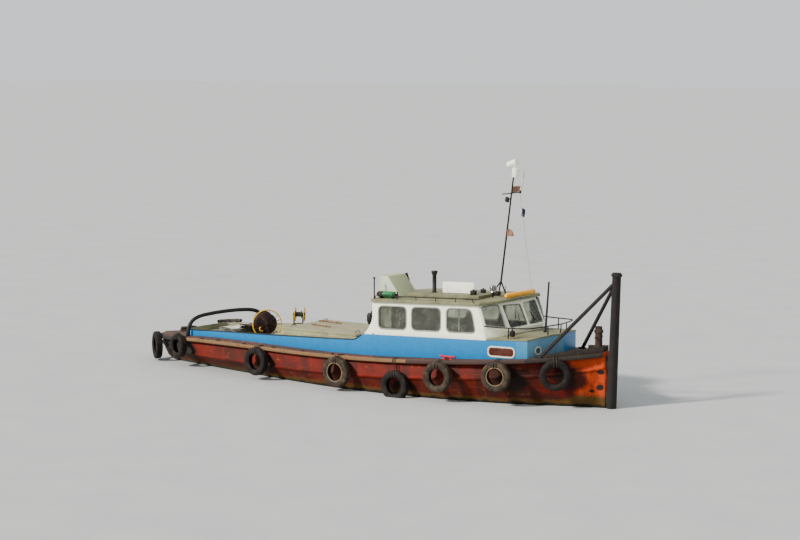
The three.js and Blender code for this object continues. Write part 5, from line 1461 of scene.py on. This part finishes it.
# Inside the wheelhouse: curtains on rods, a pane's bar, the helm seat and bench cushions
CURTAIN_FOOT, CURTAIN_HEAD = 1.72, 2.27
SEAT = (2.72, -0.48)
SEAT_HALF = 0.22
BENCH_ENDS = {"aft": (1.17, 1.69), "fore": (1.71, 2.23)}
CUSHION_LEVELS = ((0.0, 0.03), (0.12, 0.008), (0.5, 0.0), (0.8, 0.006), (0.95, 0.024), (1.0, 0.06))


def curtain(name, aft, fore, side, finish, folds):
    rows = []
    for k in range(9):
        z = CURTAIN_HEAD - (CURTAIN_HEAD - CURTAIN_FOOT) * k / 8
        row = []
        for t in [n / (folds * 8) for n in range(folds * 8 + 1)]:
            spot = house_side(side)(Vector((aft + (fore - aft) * t, z)), -0.07)
            spot.y += side * 0.016 * math.sin(2 * math.pi * folds * t) * (0.6 + 0.4 * k / 8)
            row.append(spot)
        rows.append(row)
    grid_cloth(name, rows, finish)


def padded(name, build):
    piece(name, build, 60, "seat_dark")


def cushion(name, low, high, crown):
    """A crowned pad: pinched at its edge seam, domed on top and flat below."""
    build = bmesh.new()
    middle = (Vector(low) + Vector(high)) / 2
    half = (Vector(high) - Vector(low)) / 2
    rings = []
    for level, inset in CUSHION_LEVELS:
        ring = []
        for c, s in [(math.cos(a), math.sin(a)) for a in circle(40)]:
            x = middle.x + (half.x - inset) * math.copysign(abs(c) ** 0.28, c)
            y = middle.y + (half.y - inset) * math.copysign(abs(s) ** 0.28, s)
            ring.append(Vector((x, y, low[2] + level * (high[2] - low[2]))))
        rings.append(ring)
    top, rim = Vector((middle.x, middle.y, high[2])), rings[-1]
    for shrink, rise in ((0.75, 0.55), (0.5, 0.85), (0.22, 1.0)):
        rings.append([top + (p - top) * shrink + UP * crown * rise for p in rim])
    skin(build, rings)
    padded(name, build)


def inside():
    rods, seat, back = builds(3)
    for side in SIDES.values():
        place = house_side(side)
        spots = [place(Vector((x, 2.285 + 0.02 * x)), -0.07) for x in (0.98, 2.0, 3.0)]
        tube(rods, [spots[0], spots[2]], 0.009, 8)
        for spot in spots:
            tube(rods, [spot, spot + Vector((0, side * 0.075, 0))], 0.008, 6)
    for side in SIDES.values():
        tube(rods, [house_side(side)(Vector((3.52, z)), -0.02) for z in (1.77, 2.1, 2.4)], 0.014, 8)
    piece("curtain_rods", rods, 45, "skin_cream")
    curtain("curtain_pale_starboard", 1.02, 1.36, -1, "curtain_pale", 4)
    curtain("curtain_dark_starboard", 1.5, 1.9, -1, "seat_dark", 5)
    curtain("curtain_pale_port", 1.02, 1.32, 1, "curtain_pale", 4)
    x, y = SEAT
    sole = drop("cabin_fitout", x, y, 1.6)
    profile = [(0, -0.002), (0.17, -0.002), (0.17, 0.012), (0.04, 0.03)]
    profile += [(0.035, 0.55), (0.09, 0.6), (0, 0.605)]
    turned(seat, profile, (x, y, sole), UP, 20)
    bend = [(x - aft, y, sole + z) for aft, z in ((0.1, 0.59), (0.24, 0.62), (0.27, 0.8), (0.28, 1.0))]
    tube(seat, smooth_path(bend, 4), 0.018, 8)
    piece("helm_seat_post", seat, 45, "fitting_black")
    low, high = (x - SEAT_HALF, y - SEAT_HALF, sole + 0.604), (x + SEAT_HALF, y + SEAT_HALF, sole + 0.68)
    cushion("helm_seat_cushion", low, high, 0.02)
    outline = rounded_outline(oblong(-SEAT_HALF, SEAT_HALF, 0.0, 0.36), 0.08, 5)
    rings = []
    for grow, depth in ((-0.03, -0.02), (0.0, 0.0), (0.0, 0.03), (-0.03, 0.055), (-0.09, 0.066)):
        seam = offset_outline(outline, grow)
        rings.append([Vector((x - 0.25 + depth, y + p.x, sole + 0.82 + p.y)) for p in seam])
    skin(back, rings)
    padded("helm_seat_back", back)
    for end, (aft, fore) in BENCH_ENDS.items():
        cushion("bench_cushion_" + end, (aft, 0.64, 1.13), (fore, 1.1, 1.22), 0.018)


inside()
